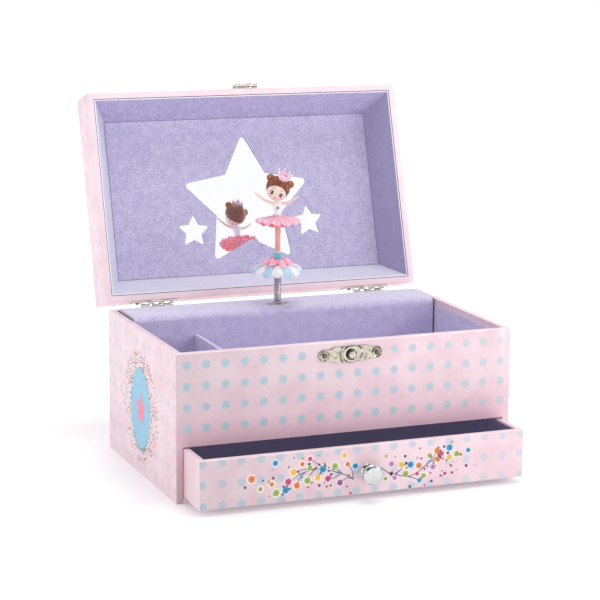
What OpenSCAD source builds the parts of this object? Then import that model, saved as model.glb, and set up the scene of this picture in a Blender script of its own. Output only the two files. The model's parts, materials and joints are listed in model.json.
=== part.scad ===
// Musical jewellery box: a papered wooden box with a lined tray, a drawer below it, a mirrored lid,
// and a small dancer on a spring, turned by a spring-driven movement hidden under a flocked cover.
// Units are millimetres. +Z is up, the drawer opens towards -Y, and the origin is the middle of the base.

/* [Box] */
// Width of the box over its side walls
box_w = 200; // [190:1:220]
// Depth of the box, front to back
box_d = 126; // [122:1:140]
// Height of the box up to its rim, without the lid
box_h = 83; // [83:1:90]
// Thickness of the box walls
wall = 3.8; // [3:0.1:4.5]
// Thickness of the base board and of the shelf over the drawer
board = 3; // [2.5:0.1:3.5]

/* [Drawer] */
// Height of the drawer's front and sides
drawer_h = 27.2; // [24:0.1:27.5]
// Thickness of the drawer's boards
drawer_wall = 3.4; // [2.5:0.1:4]
// How far the drawer stands open
drawer_out = 26.4; // [0:0.1:60]
// Width over the flats of the drawer's knob
knob_d = 12.4; // [10:0.1:16]

/* [Lid] */
// Height of the closed lid
lid_h = 23.5; // [22:0.1:30]
// Angle by which the lid stands open
lid_open = 107; // [0:1:107]
// How far the lid's lining leans in from the rim to the ceiling
lid_slope = 10; // [4:0.5:12]
// Radius of the big star's points, from its centre
star_r = 41; // [30:0.5:42]
// Radius of the two small stars' points
small_star_r = 9.6; // [6:0.1:12]

/* [Tray] */
// Height of the divider's top edge above the base
divider_top = 72.3; // [50:0.1:78]
// Place of the divider across the box, measured from the middle
divider_x = -57.2; // [-70:0.1:-40]
// Top of the flocked cover over the movement
deck_z = 84.3; // [84:0.1:85]
// Front face of the flocked cover
deck_y = 28.5; // [26:0.1:30]

/* [Dancer] */
// Place of the dancer's spindle across the box
spindle_x = -2; // [-4:0.5:2]
// Place of the dancer's spindle from front to back
spindle_y = 41; // [40:0.5:42]
// Radius of the petals under the dancer
petal_r = 15; // [12:0.1:15.2]
// Radius of the dancer's skirt
tutu_r = 13.4; // [11:0.1:14]

/* [Hidden] */
$fn = 48;
half_w = box_w / 2;
half_d = box_d / 2;
inner_w = half_w - wall;                // inside face of the side walls
inner_d = half_d - wall;                // inside face of the front and back
bay_h = board + drawer_h + 1.1;         // top of the drawer's opening
shelf_top = bay_h + board;
card = 0.8;                             // flocked card that lines the tray
lining_drop = 3.7;                      // bare rim above the lining

lid_gap = 0.4;                          // between the two rims when the lid is shut
lid_z = box_h + lid_gap;
lid_board = 2.5;                        // the lid's top board
ceiling_z = lid_z + lid_h - 4;          // visible face of the lid's lining
mirror_t = 0.9;
slope_t = 1;                            // card of the lid's sloping lining

hinge_y = half_d + 3.2;                 // axis of the lid's hinges
hinge_z = box_h + lid_gap / 2;
hinge_x = [-69, 68];                    // middle of each hinge
hinge_w = 28;                           // width of a leaf
hinge_leaf_h = 9;
hinge_t = 1;
barrel_r = 2.2;
knuckle = 6.8;                          // length of one of the three knuckles
hinge_pin_r = 1;
run = 0.05;                             // radial clearance of a turning fit

latch_x = 1;
latch_z = 75.7;                         // middle of the latch plate
latch_t = 0.8;
stud_r = 2.7;
hasp_y = -half_d - 2.2;                 // axis of the hasp
hasp_z = lid_z + 1.4;
hasp_r = 1.2;
nail_r = 0.6;

drawer_half = inner_w - 0.35;
drawer_z = board + 0.3;
drawer_back_y = inner_d - 0.8;
knob_x = 1;
knob_z = 15.6;

cover_half = inner_w - 1.6;
cover_back = inner_d - 1.6;
cover_t = 2;
cover_round = 4;

// The movement: one shaft along X carries the pinned cylinder and its pinions.
shaft_y = spindle_y;
shaft_z = 58;
shaft_r = 1.2;
pinion_teeth = 12;
crown_module = 0.75;
crown_gap = 0.85;                       // from a pinion's pitch circle to the crown wheel's face
pinion_r = pinion_teeth * crown_module / 2;
barrel_teeth = 24;
barrel_crown_r = barrel_teeth * crown_module / 2;
spindle_teeth = 16;
spindle_crown_r = spindle_teeth * crown_module / 2;
pinion_x = [spindle_x - 27, spindle_x - spindle_crown_r];   // driven by the barrel, driving the spindle
pinion_w = 2.4;
spring_barrel_x = pinion_x[0] - barrel_crown_r;
plate_t = 2;
plate_y = inner_d - plate_t;            // front of the movement's plate
spur_module = 0.5;
wheel_teeth = 36;
worm_pinion_teeth = 12;
wheel_x = spindle_x + 9.4;              // the governor's drive wheel on the shaft
wheel_w = 1.6;
governor_z = shaft_z - (wheel_teeth + worm_pinion_teeth) * spur_module / 2;
fly_x = spindle_x + 18;
fly_z = governor_z + 6.9;
stop_drop = 1.1;                        // travel of the stop wire

tilt_z = deck_z + 3.1;                  // where the dancer's spring bends
spring_r = 2.3;

// ---- Helpers ----

// A block between two corners
module block(low, high) {
    translate(low) cube(high - low);
}

// A cylinder between two points on a line along X, Y or Z
module rod_x(x0, x1, r, y, z) {
    translate([x0, y, z]) rotate([0, 90, 0]) cylinder(h = x1 - x0, r = r);
}
module rod_y(y0, y1, r, x, z) {
    translate([x, y0, z]) rotate([-90, 0, 0]) cylinder(h = y1 - y0, r = r);
}
module rod_z(z0, z1, r, x, y) {
    translate([x, y, z0]) cylinder(h = z1 - z0, r = r);
}

// A straight limb with round ends between any two points
module limb(a, b, r0, r1) {
    hull() {
        translate(a) sphere(r0, $fn = 16);
        translate(b) sphere(r1, $fn = 16);
    }
}

// Places a part of the shut lid where the open lid holds it
module on_lid() {
    translate([0, hinge_y, hinge_z]) rotate([-lid_open, 0, 0]) translate([0, -hinge_y, -hinge_z]) children();
}

// Places a part of the shut drawer where the open drawer holds it
module on_drawer() {
    translate([0, -drawer_out, 0]) children();
}

// A small domed nail driven along +Y, with its head at y
module nail(x, y, z, depth) {
    rod_y(y, y + depth, nail_r, x, z);
    translate([x, y, z]) rotate([90, 0, 0]) intersection() {
        translate([0, 0, -1.2]) sphere(1.9);
        cylinder(h = 1, r = 1.5);
    }
}

// One involute flank point at radius r, as an angle from the tooth's middle line
function involute(base, r) = sqrt(max(0, pow(r / base, 2) - 1)) * 180 / PI - acos(min(1, base / r));

// A spur gear's outline with a gap facing angle 0
module gear_outline(teeth, size, backlash) {
    pitch = teeth * size / 2;
    base = pitch * cos(20);
    root = pitch - 1.2 * size;
    tip = pitch + 0.9 * size;
    half_tooth = 90 / teeth - backlash / pitch * 45 / PI + involute(base, pitch);
    radii = [for (i = [0:4]) max(base, root) + (tip - max(base, root)) * i / 4];
    polygon([for (t = [0:teeth - 1]) let (mid = (t + 0.5) * 360 / teeth) each concat(
        [root * [cos(mid - half_tooth), sin(mid - half_tooth)]],
        [for (r = radii) let (a = mid - half_tooth + involute(base, r)) r * [cos(a), sin(a)]],
        [for (i = [4:-1:0]) let (r = radii[i], a = mid + half_tooth - involute(base, r)) r * [cos(a), sin(a)]],
        [root * [cos(mid + half_tooth), sin(mid + half_tooth)]])]);
}

// A crown wheel's ring of teeth, standing up from z = 0, with a tooth at angle 0
module crown_teeth(teeth, size, face) {
    pitch_r = teeth * size / 2;
    tooth = PI * size / 2 - 0.45;
    for (t = [0:teeth - 1]) rotate(t * 360 / teeth)
        translate([pitch_r - face / 2, 0, 0]) rotate([90, 0, 90]) linear_extrude(face)
            polygon([[-tooth / 2 - 0.2, -0.2], [tooth / 2 + 0.2, -0.2], [tooth / 2 + 0.2, 0],
                [tooth / 2 - 0.3, 1.3], [-tooth / 2 + 0.3, 1.3], [-tooth / 2 - 0.2, 0]]);
}

// ---- Box ----

module base_board() {
    color("lavenderblush") block([-inner_w, -half_d, 0], [inner_w, inner_d, board]);
}

module back_wall() {
    color("pink") difference() {
        block([-inner_w, inner_d, 0], [inner_w, half_d, box_h]);
        rod_y(inner_d - 1, half_d + 1, 4, spring_barrel_x, shaft_z);
        block([stop_x - 1.2, inner_d - 1, box_h - 6.5], [stop_x + 1.2, half_d - 0.6, box_h + 1]);
        for (p = movement_screw_points) rod_y(inner_d - 1, half_d + 1, 1.6, p[0], p[1]);
    }
}

module side_wall(side) {
    color("pink") translate([side * (half_w - wall / 2), 0, 0])
        block([-wall / 2, -half_d, 0], [wall / 2, half_d, box_h]);
}

module front_panel() {
    color("pink") difference() {
        block([-inner_w, -half_d, bay_h], [inner_w, -inner_d, box_h]);
        rod_y(-half_d - 1, -inner_d - 0.8, 1.3, latch_x, latch_z);
    }
}

module shelf_board() {
    color("lavenderblush") block([-inner_w, -inner_d, bay_h], [inner_w, inner_d, shelf_top]);
}

module floor_lining() {
    color("mediumpurple") block([-inner_w, -inner_d, shelf_top], [inner_w, deck_y, shelf_top + card]);
}

module wall_lining() {
    z = [shelf_top + card, box_h - lining_drop];
    color("mediumpurple") {
        block([-inner_w, -inner_d, z[0]], [inner_w, -inner_d + card, z[1]]);
        for (side = [-1, 1]) translate([side * (inner_w - card / 2), 0, 0])
            block([-card / 2, -inner_d, z[0]], [card / 2, deck_y, z[1]]);
    }
}

module divider() {
    color("mediumpurple") block([divider_x - 1.2, -inner_d + card, shelf_top + card],
        [divider_x + 1.2, deck_y, divider_top]);
}

// The cover is a bent board: a deck with a rounded front edge, and a front down to the shelf
module movement_cover() {
    r = cover_round;
    q = r - cover_t;
    centre = [deck_y + r, deck_z - r];
    outer = [for (a = [180:-10:90]) centre + r * [cos(a), sin(a)]];
    inner = [for (a = [90:10:180]) centre + q * [cos(a), sin(a)]];
    color("thistle") difference() {
        translate([-cover_half, 0, 0]) rotate([90, 0, 90]) linear_extrude(2 * cover_half)
            polygon(concat([[deck_y, shelf_top]], outer,
                [[cover_back, deck_z], [cover_back, deck_z - cover_t]],
                inner, [[deck_y + cover_t, shelf_top]]));
        rod_z(deck_z - 3, deck_z + 1, 2.9, spindle_x, spindle_y);
    }
}

module spindle_flange() {
    top = deck_z + 0.6;
    color("dimgray") difference() {
        union() {
            rod_z(deck_z, top, 4.4, spindle_x, spindle_y);
            for (side = [-1, 1]) {
                block([spindle_x + side * 3.3 - 2.4, spindle_y - 1.6, deck_z],
                    [spindle_x + side * 3.3 + 2.4, spindle_y + 1.6, top]);
                rod_z(deck_z, top, 1.6, spindle_x + side * 5.2, spindle_y);
            }
        }
        rod_z(deck_z - 1, top + 1, 2.5, spindle_x, spindle_y);
    }
}

// ---- Latch ----

module latch_plate() {
    color("gainsboro") translate([latch_x, -half_d, latch_z]) rotate([90, 0, 0]) difference() {
        linear_extrude(latch_t) {
            square([19, 8.8], center = true);
            for (side = [-1, 1]) {
                translate([side * 13.4, 0]) square([8, 6], center = true);
                translate([side * 15.8, 0]) circle(3.2);
                translate([side * 9.5, 0]) circle(4.1);
            }
        }
        for (side = [-1, 1]) translate([side * 15.6, 0, -1]) cylinder(h = 3, r = nail_r + 0.1);
        translate([0, 0, -1]) cylinder(h = 3, r = 1.3);
    }
}

// A stepped ring with a domed stud that the hasp snaps over, riveted through the plate
module latch_stud() {
    color("silver") translate([latch_x, -half_d - latch_t, latch_z]) rotate([90, 0, 0]) rotate_extrude()
        polygon(concat([[0, -2.6], [1.3, -2.6], [1.3, 0], [4.9, 0], [4.9, 0.35], [4.3, 0.8], [3.4, 0.8],
            [3.1, 0.5], [stud_r - 0.5, 0.5]],
            [for (a = [0:15:90]) [(stud_r) * cos(a), 2.1 + 1.1 * sin(a)]]));
}

module box_nails() {
    color("silver") {
        for (side = [-1, 1]) nail(latch_x + side * 15.6, -half_d - latch_t, latch_z, 3.2);
        for (x = hinge_x, side = [-1, 1]) translate([x + side * 10, half_d + hinge_t, hinge_z - 7])
            rotate([0, 0, 180]) nail(0, 0, 0, 3.2);
    }
}

// ---- Hinges ----

// One leaf of a hinge at x. up = 1 is the lid's leaf with the middle knuckle, -1 the box's leaf with two
module hinge_leaf(x, up) {
    spots = up > 0 ? [0] : [-1, 1];
    length = knuckle - 0.3;
    translate([x, hinge_y, hinge_z]) difference() {
        union() {
            scale_z(up) block([-hinge_w / 2, half_d - hinge_y, barrel_r + 0.1],
                [hinge_w / 2, half_d - hinge_y + hinge_t, barrel_r + hinge_leaf_h]);
            for (s = spots) {
                rod_x(s * knuckle - length / 2, s * knuckle + length / 2, barrel_r, 0, 0);
                scale_z(up) block([s * knuckle - length / 2, half_d - hinge_y, 0.15],
                    [s * knuckle + length / 2, half_d - hinge_y + 1.6, barrel_r + 0.5]);
            }
        }
        rod_x(-2 * knuckle, 2 * knuckle, up > 0 ? hinge_pin_r + run : hinge_pin_r, 0, 0);
        for (side = [-1, 1]) rod_y(-6, 1, nail_r + 0.1, side * 10, up * 7);
    }
}

module scale_z(up) {
    if (up > 0) children();
    else mirror([0, 0, 1]) children();
}

module hinge_box_leaf(x) {
    color("gainsboro") hinge_leaf(x, -1);
}

module hinge_lid_leaf(x) {
    color("gainsboro") on_lid() hinge_leaf(x, 1);
}

module hinge_pins() {
    reach = 1.5 * knuckle;
    color("silver") for (x = hinge_x) rod_x(x - reach, x + reach, hinge_pin_r, hinge_y, hinge_z);
}

// ---- Lid ----

module lid_board_between(low, high) {
    color("pink") on_lid() block(low, high);
}

rail_top = lid_z + lid_h - lid_board;

module lid_top() {
    lid_board_between([-half_w, -half_d, rail_top], [half_w, half_d, lid_z + lid_h]);
}

module lid_side_rail(side) {
    middle = side * (half_w - wall / 2);
    lid_board_between([middle - wall / 2, -half_d, lid_z], [middle + wall / 2, half_d, rail_top]);
}

module lid_end_rail(side) {
    middle = side * (half_d - wall / 2);
    lid_board_between([-inner_w, middle - wall / 2, lid_z], [inner_w, middle + wall / 2, rail_top]);
}

// A five-pointed star with one point towards +Y. Rounding the points by tip shortens them to reach
module star(reach, tip) {
    radii = [reach + 1.25 * tip, 0.55 * reach];
    offset(r = tip) offset(delta = -tip)
        polygon([for (i = [0:9]) radii[i % 2] * [cos(90 + i * 36), sin(90 + i * 36)]]);
}

// The three stars on the lid's ceiling, seen from above with the lid shut: points towards the lid's front
module star_places() {
    translate([2.2, 5]) rotate(180) children(0);
    translate([-34.8, 21]) rotate(183) children(1);
    translate([40.8, 18.2]) rotate(177) children(1);
}

module lid_ceiling_lining() {
    reach = [inner_w - slope_t - lid_slope, inner_d - slope_t - lid_slope];
    color("mediumpurple") on_lid() difference() {
        block([-reach[0], -reach[1], ceiling_z], [reach[0], reach[1], ceiling_z + 0.6]);
        translate([0, 0, ceiling_z - 1]) linear_extrude(3) star_places() {
            star(star_r, 2);
            star(small_star_r, 0.8);
        }
    }
}

// Four sloping cards between the rim and the ceiling, folded from one sheet
module lid_slope_lining() {
    height = ceiling_z + 0.6 - lid_z - 0.3;
    color("mediumpurple") on_lid() difference() {
        slope_solid(inner_w, inner_d, height, 0);
        slope_solid(inner_w - slope_t, inner_d - slope_t, height, 1);
    }
}

module slope_solid(w, d, height, extra) {
    lean = lid_slope;
    translate([0, 0, lid_z + 0.3]) hull() {
        translate([0, 0, -extra / 10]) linear_extrude(0.01) square([2 * w, 2 * d], center = true);
        translate([0, 0, height + extra / 10]) linear_extrude(0.01)
            square([2 * (w - lean), 2 * (d - lean)], center = true);
    }
}

module star_mirror() {
    z = ceiling_z + 0.6;
    color("aliceblue") on_lid() block([-52, -46, z], [56, 46, z + mirror_t]);
}

module lid_nails() {
    color("silver") on_lid() {
        for (x = hinge_x, side = [-1, 1]) translate([x + side * 10, half_d + hinge_t, hinge_z + 7])
            rotate([0, 0, 180]) nail(0, 0, 0, 3.2);
        for (side = [-1, 1]) nail(latch_x + side * 5.6, -half_d - latch_t, hasp_z + 4.6, 3.2);
    }
}

// ---- Hasp ----

module hasp_leaf() {
    color("gainsboro") on_lid() translate([latch_x, hasp_y, hasp_z]) difference() {
        union() {
            block([-8.2, -half_d - latch_t - hasp_y, hasp_r + 0.1], [8.2, -half_d - hasp_y, 7.4]);
            for (side = [-1, 1]) {
                rod_x(side * 6.6 - 1.6, side * 6.6 + 1.6, hasp_r, 0, 0);
                block([side * 6.6 - 1.6, 0.6, 0], [side * 6.6 + 1.6, -half_d - hasp_y, hasp_r + 0.4]);
            }
        }
        rod_x(-9, 9, 0.5, 0, 0);
        for (side = [-1, 1]) rod_y(-1, 4, nail_r + 0.1, side * 5.6, 4.6);
    }
}

module hasp_pin() {
    color("silver") on_lid() translate([latch_x, hasp_y, hasp_z]) rod_x(-8.2, 8.2, 0.5, 0, 0);
}

// The tongue is drawn folded up against the lid's front. It swings down over the stud
module hasp_tongue() {
    reach = hasp_z - latch_z;
    color("gainsboro") on_lid() translate([latch_x, hasp_y, hasp_z]) difference() {
        union() {
            rod_x(-4.8, 4.8, hasp_r, 0, 0);
            translate([0, 0.5, 0]) rotate([90, 0, 0]) linear_extrude(0.8) {
                translate([-4.8, 0]) square([9.6, reach]);
                translate([0, reach]) circle(5.2);
            }
        }
        rod_x(-6, 6, 0.5 + run, 0, 0);
        rod_y(-3, 3, stud_r + 0.3, 0, reach);
    }
}

// ---- Drawer ----

module drawer_front() {
    color("pink") on_drawer() difference() {
        block([-drawer_half, -half_d, drawer_z], [drawer_half, -half_d + drawer_wall, drawer_z + drawer_h]);
        rod_y(-half_d - 1, -half_d + drawer_wall + 1, 1.6, knob_x, knob_z);
    }
}

module drawer_side(side) {
    middle = side * (drawer_half - drawer_wall / 2);
    color("pink") on_drawer() block([middle - drawer_wall / 2, -half_d + drawer_wall, drawer_z],
        [middle + drawer_wall / 2, drawer_back_y, drawer_z + drawer_h]);
}

module drawer_back() {
    reach = drawer_half - drawer_wall;
    color("pink") on_drawer() block([-reach, drawer_back_y - drawer_wall, drawer_z],
        [reach, drawer_back_y, drawer_z + drawer_h]);
}

module drawer_bottom() {
    reach = drawer_half - drawer_wall;
    color("lavenderblush") on_drawer() block([-reach, -half_d + drawer_wall, drawer_z],
        [reach, drawer_back_y - drawer_wall, drawer_z + 2.4]);
}

// A tray of dark paper over the drawer's floor and inner sides
module drawer_lining() {
    reach = drawer_half - drawer_wall;
    low = [-reach, -half_d + drawer_wall, drawer_z + 2.4];
    high = [reach, drawer_back_y - drawer_wall, drawer_z + drawer_h - 1];
    color("rebeccapurple") on_drawer() difference() {
        block(low, high);
        translate([0.5, 0.5, 0.5]) block(low, high - [1, 1, 0] + [0, 0, 1]);
        rod_y(low[1] - 1, low[1] + 1, 3.6, knob_x, knob_z);
    }
}

// A faceted knob: a flared foot, a narrow neck and a cut-glass head
module drawer_knob() {
    head = knob_d / 2;
    color("whitesmoke") on_drawer() translate([knob_x, -half_d, knob_z]) rotate([90, 0, 0]) difference() {
        union() {
            cylinder(h = 1.2, r = 4.4);
            cylinder(h = 4, r = 2.8);
            rotate(18) translate([0, 0, 3]) cylinder(h = 2.6, r1 = 3.4, r2 = head, $fn = 10);
            rotate(18) translate([0, 0, 5.6]) cylinder(h = 1.6, r = head, $fn = 10);
            rotate(18) translate([0, 0, 7.2]) cylinder(h = 1.8, r1 = head, r2 = head * 0.62, $fn = 10);
        }
        translate([0, 0, -1]) cylinder(h = 6, r = 1.4);
    }
}

module knob_screw() {
    inside = -half_d + drawer_wall;
    color("silver") on_drawer() {
        rod_y(-half_d - 4.8, inside, 1.4, knob_x, knob_z);
        difference() {
            rod_y(inside, inside + 1.4, 3, knob_x, knob_z);
            block([knob_x - 4, inside + 0.8, knob_z - 0.4], [knob_x + 4, inside + 3, knob_z + 0.4]);
        }
    }
}

// ---- Movement, fixed parts ----

movement_screw_points = [[spring_barrel_x - 8, 40], [spring_barrel_x - 8, 76], [wheel_x + 10, 72]];
comb_x = [pinion_x[0] + 3.4, pinion_x[1] - 2.4];
stop_x = spindle_x + 8;

module movement_plate() {
    color("tan") difference() {
        block([spring_barrel_x - 13, plate_y, shelf_top + 1.5], [fly_x + 7, inner_d, 78.5]);
        block([stop_x - 2.5, plate_y - 1, 76], [fly_x + 8, inner_d + 1, 80]);
        rod_y(plate_y - 1, inner_d + 1, 1.75 + run, spring_barrel_x, shaft_z);
        rod_y(plate_y - 1, plate_y + 1.2, 0.6 + run, fly_x, fly_z);
        for (p = movement_screw_points) rod_y(plate_y - 1, inner_d + 1, 1.2, p[0], p[1]);
    }
}

module movement_screws() {
    color("silver") for (p = movement_screw_points) difference() {
        union() {
            rod_y(plate_y, half_d, 1.2, p[0], p[1]);
            rod_y(half_d, half_d + 1.6, 2.6, p[0], p[1]);
        }
        block([p[0] - 3, half_d + 0.9, p[1] - 0.4], [p[0] + 3, half_d + 3, p[1] + 0.4]);
    }
}

// The comb stands on a block, with one steel tooth for each track of the cylinder
module comb() {
    low_z = shelf_top + 2;
    tip_z = shaft_z - 7.25;
    color("lightsteelblue") difference() {
        union() {
            block([comb_x[0], shaft_y - 0.5, low_z], [comb_x[1], shaft_y + 0.5, tip_z]);
            block([comb_x[0], shaft_y + 0.5, low_z], [comb_x[1], plate_y, low_z + 6]);
        }
        for (i = [1:15]) let (x = comb_x[0] + i * (comb_x[1] - comb_x[0]) / 16)
            block([x - 0.15, shaft_y - 1, low_z + 7.5], [x + 0.15, shaft_y + 1, tip_z + 1]);
        for (i = [0, 1]) rod_y(shaft_y - 2, shaft_y + 5, 1, comb_x[0] + 4 + i * 8, low_z + 3);
    }
}

module comb_screws() {
    color("silver") for (i = [0, 1]) let (x = comb_x[0] + 4 + i * 8, z = shelf_top + 5) {
        rod_y(shaft_y - 0.5, shaft_y + 5, 1, x, z);
        difference() {
            rod_y(shaft_y - 1.7, shaft_y - 0.5, 2, x, z);
            block([x - 3, shaft_y - 3, z - 0.3], [x + 3, shaft_y - 1.2, z + 0.3]);
        }
    }
}

// Holds the front of the winding arbor and the left end of the shaft
module barrel_bridge() {
    front = shaft_y + 1.8;
    left = spring_barrel_x - 12.5;
    color("tan") difference() {
        union() {
            block([left, front, shaft_z - 6], [pinion_x[0] - 3, front + 1.5, shaft_z + 6]);
            block([left, front, shaft_z - 6], [left + 1.6, plate_y, shaft_z + 6]);
            block([pinion_x[0] - 5.6, shaft_y - 2.4, shaft_z - 2.4], [pinion_x[0] - 3, front, shaft_z + 2.4]);
        }
        rod_y(front - 1, front + 3, 1.75 + run, spring_barrel_x, shaft_z);
        rod_x(pinion_x[0] - 7, pinion_x[0] - 1, shaft_r + run, shaft_y, shaft_z);
    }
}

module shaft_bracket() {
    x = spindle_x + 5.4;
    color("tan") difference() {
        block([x, shaft_y - 2.4, shaft_z - 2.4], [x + 2.6, plate_y, shaft_z + 2.4]);
        rod_x(x - 1, x + 4, shaft_r + run, shaft_y, shaft_z);
    }
}

// A hollow block, open at the back, round the worm wheel and the air brake
module governor_housing() {
    x = [wheel_x + 2.8, fly_x + 6];
    front = shaft_y - 8;
    z = [shelf_top + 1.5, fly_z + 5];
    color("seashell") difference() {
        block([x[0], front, z[0]], [x[1], plate_y, z[1]]);
        block([x[0] + 1.2, front + 1.2, z[0] + 1.2], [x[1] - 1.2, plate_y + 1, z[1] - 1.2]);
        rod_x(x[0] - 1, x[1] + 1, 0.8 + run, shaft_y, governor_z);
        rod_y(front - 1, front + 2, 0.6 + run, fly_x, fly_z);
        rod_z(z[1] - 2, z[1] + 1, 0.8, fly_x, shaft_y + 10);
    }
}

// ---- Movement, moving parts ----

module winding_arbor() {
    color("silver") rod_y(shaft_y + 1.8, half_d + 7, 1.75, spring_barrel_x, shaft_z);
}

// A butterfly key: two flat wings on a hub
module winding_key() {
    color("gold") translate([spring_barrel_x, half_d, shaft_z]) rotate([-90, 0, 0]) difference() {
        union() {
            translate([0, 0, 1]) cylinder(h = 8, r = 3.2);
            translate([0, 0, 4]) rotate([90, 0, 0]) translate([0, 0, -1]) linear_extrude(2) {
                for (side = [-1, 1]) translate([side * 7.2, 5.5]) circle(5.4);
                translate([-7.2, 1.2]) square([14.4, 7]);
            }
        }
        cylinder(h = 7, r = 1.75);
    }
}

// The barrel holds the mainspring and carries the crown of teeth that drives the shaft
module spring_barrel() {
    front = shaft_y + pinion_r + crown_gap;
    back = plate_y - 1.2;
    outer = barrel_crown_r + 1.2;
    color("goldenrod") {
        translate([spring_barrel_x, 0, shaft_z]) rotate([-90, 0, 0]) rotate_extrude()
            polygon([[1.75 + run, front], [outer, front], [outer, back], [1.75 + run, back],
                [1.75 + run, back - 0.8], [outer - 1, back - 0.8],
                [outer - 1, front + 1], [1.75 + run, front + 1]]);
        translate([spring_barrel_x, front, shaft_z]) rotate([90, 0, 0])
            crown_teeth(barrel_teeth, crown_module, 1.8);
    }
}

// A flat spiral of spring steel inside the barrel
module mainspring() {
    turns = 5;
    start = 2.1;
    pitch = 1.2;
    line = [for (a = [0:20:360 * turns]) (start + pitch * a / 360) * [cos(a), sin(a)]];
    back = [for (i = [len(line) - 1:-1:0]) line[i] * (1 + 0.35 / norm(line[i]))];
    color("slategray") translate([spring_barrel_x, shaft_y + pinion_r + 2, shaft_z]) rotate([-90, 0, 0])
        linear_extrude(plate_y - 2.4 - shaft_y - pinion_r - 2) polygon(concat(line, back));
}

// Sixteen tracks of steel pins stand out of the drum. Their places follow a simple rule
module pinned_cylinder() {
    drum_r = 6.5;
    color("gold") {
        difference() {
            rod_x(comb_x[0], comb_x[1], drum_r, shaft_y, shaft_z);
            rod_x(comb_x[0] - 1, comb_x[1] + 1, shaft_r, shaft_y, shaft_z);
        }
        for (track = [0:15], beat = [0:3]) {
            a = track * 53 + beat * 90 + (track * track) % 37;
            translate([comb_x[0] + (track + 0.5) * (comb_x[1] - comb_x[0]) / 16, shaft_y, shaft_z])
                rotate([a, 0, 0]) translate([0, 0, drum_r - 1]) cylinder(h = 1.5, r = 0.2, $fn = 6);
        }
    }
}

module cylinder_shaft() {
    color("silver") {
        rod_x(pinion_x[0] - 5, wheel_x + 2, shaft_r, shaft_y, shaft_z);
        for (x = pinion_x) translate([x - pinion_w / 2, shaft_y, shaft_z]) rotate([0, 90, 0])
            linear_extrude(pinion_w) gear_outline(pinion_teeth, crown_module, 0.35);
        translate([wheel_x - wheel_w / 2, shaft_y, shaft_z]) rotate([0, 90, 0])
            linear_extrude(wheel_w) gear_outline(wheel_teeth, spur_module, 0.2);
    }
}

// The governor's first shaft: a pinion on the drive wheel, and the worm wheel inside the housing
module governor_wheel() {
    half_pitch = 180 / worm_pinion_teeth;
    color("white") {
        rod_x(wheel_x - 1, fly_x + 5.6, 0.8, shaft_y, governor_z);
        translate([wheel_x - wheel_w / 2, shaft_y, governor_z]) rotate([0, 90, 0])
            linear_extrude(wheel_w) rotate(half_pitch) gear_outline(worm_pinion_teeth, spur_module, 0.2);
        translate([fly_x - 0.9, shaft_y, governor_z]) rotate([0, 90, 0])
            linear_extrude(1.8) gear_outline(24, 0.4, 0.2);
    }
}

// A worm with two air vanes that spin and slow the music down
module governor_fly() {
    front = shaft_y - 7.8;
    color("white") {
        rod_y(front, plate_y + 1, 0.6, fly_x, fly_z);
        for (i = [0:4]) translate([fly_x, shaft_y - 3.4 + i * 1.5, fly_z]) rotate([-90, 0, 0])
            rotate_extrude() polygon([[0.5, 0], [1.5, 0.3], [1.5, 0.6], [0.5, 0.9]]);
        for (side = [-1, 1]) block([fly_x + side * 1.8 - 1.5, shaft_y + 6.5, fly_z - 0.3],
            [fly_x + side * 1.8 + 1.5, shaft_y + 13, fly_z + 0.3]);
    }
}

// A bent wire: the lid's back rail presses its tip, and its foot comes down over the vanes
module stop_wire() {
    r = 0.6;
    foot = fly_z + 3.3 + stop_drop + 0.3;
    run_z = box_h - 3.7;
    pin_y = shaft_y + 10;
    tip_y = inner_d + 1.6;
    color("silver") {
        rod_z(foot, run_z, r, fly_x, pin_y);
        rod_x(stop_x, fly_x, r, pin_y, run_z);
        rod_y(pin_y, tip_y, r, stop_x, run_z);
        rod_z(run_z, box_h + stop_drop + 0.3, r, stop_x, tip_y);
        for (corner = [[fly_x, pin_y], [stop_x, pin_y], [stop_x, tip_y]])
            translate([corner[0], corner[1], run_z]) sphere(0.8);
    }
}

module spindle() {
    crown_z = shaft_z + pinion_r + crown_gap;
    color("silver") {
        rod_z(crown_z, deck_z + 0.2, 1.5, spindle_x, spindle_y);
        rod_z(crown_z, crown_z + 1.4, spindle_crown_r + 0.9, spindle_x, spindle_y);
        rod_z(deck_z - 1.6, deck_z + 0.2, 2.4, spindle_x, spindle_y);
        translate([spindle_x, spindle_y, crown_z]) rotate([180, 0, 0])
            crown_teeth(spindle_teeth, crown_module, 1.6);
    }
}

// ---- Dancer ----

// Everything below is placed by its height above the deck, on the spindle's line
module on_spindle() {
    translate([spindle_x, spindle_y, deck_z]) children();
}

module spring() {
    top = 17.3;
    color("dimgray") on_spindle() difference() {
        translate([0, 0, tilt_z - deck_z]) cylinder(h = top - (tilt_z - deck_z), r = spring_r);
        cylinder(h = top + 1, r = spring_r - 0.8);
    }
}

module flower_base() {
    color("lightpink") on_spindle() rotate_extrude() polygon([[0, 17.3], [5, 17.3], [petal_r - 1.2, 16.9],
        [petal_r, 18.2], [petal_r - 1.6, 20.4], [10, 22.2], [9.4, 24], [7.6, 26.4], [4, 27.4], [2.5, 27.6],
        [2.5, 31.2], [0, 31.2]]);
}

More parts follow.
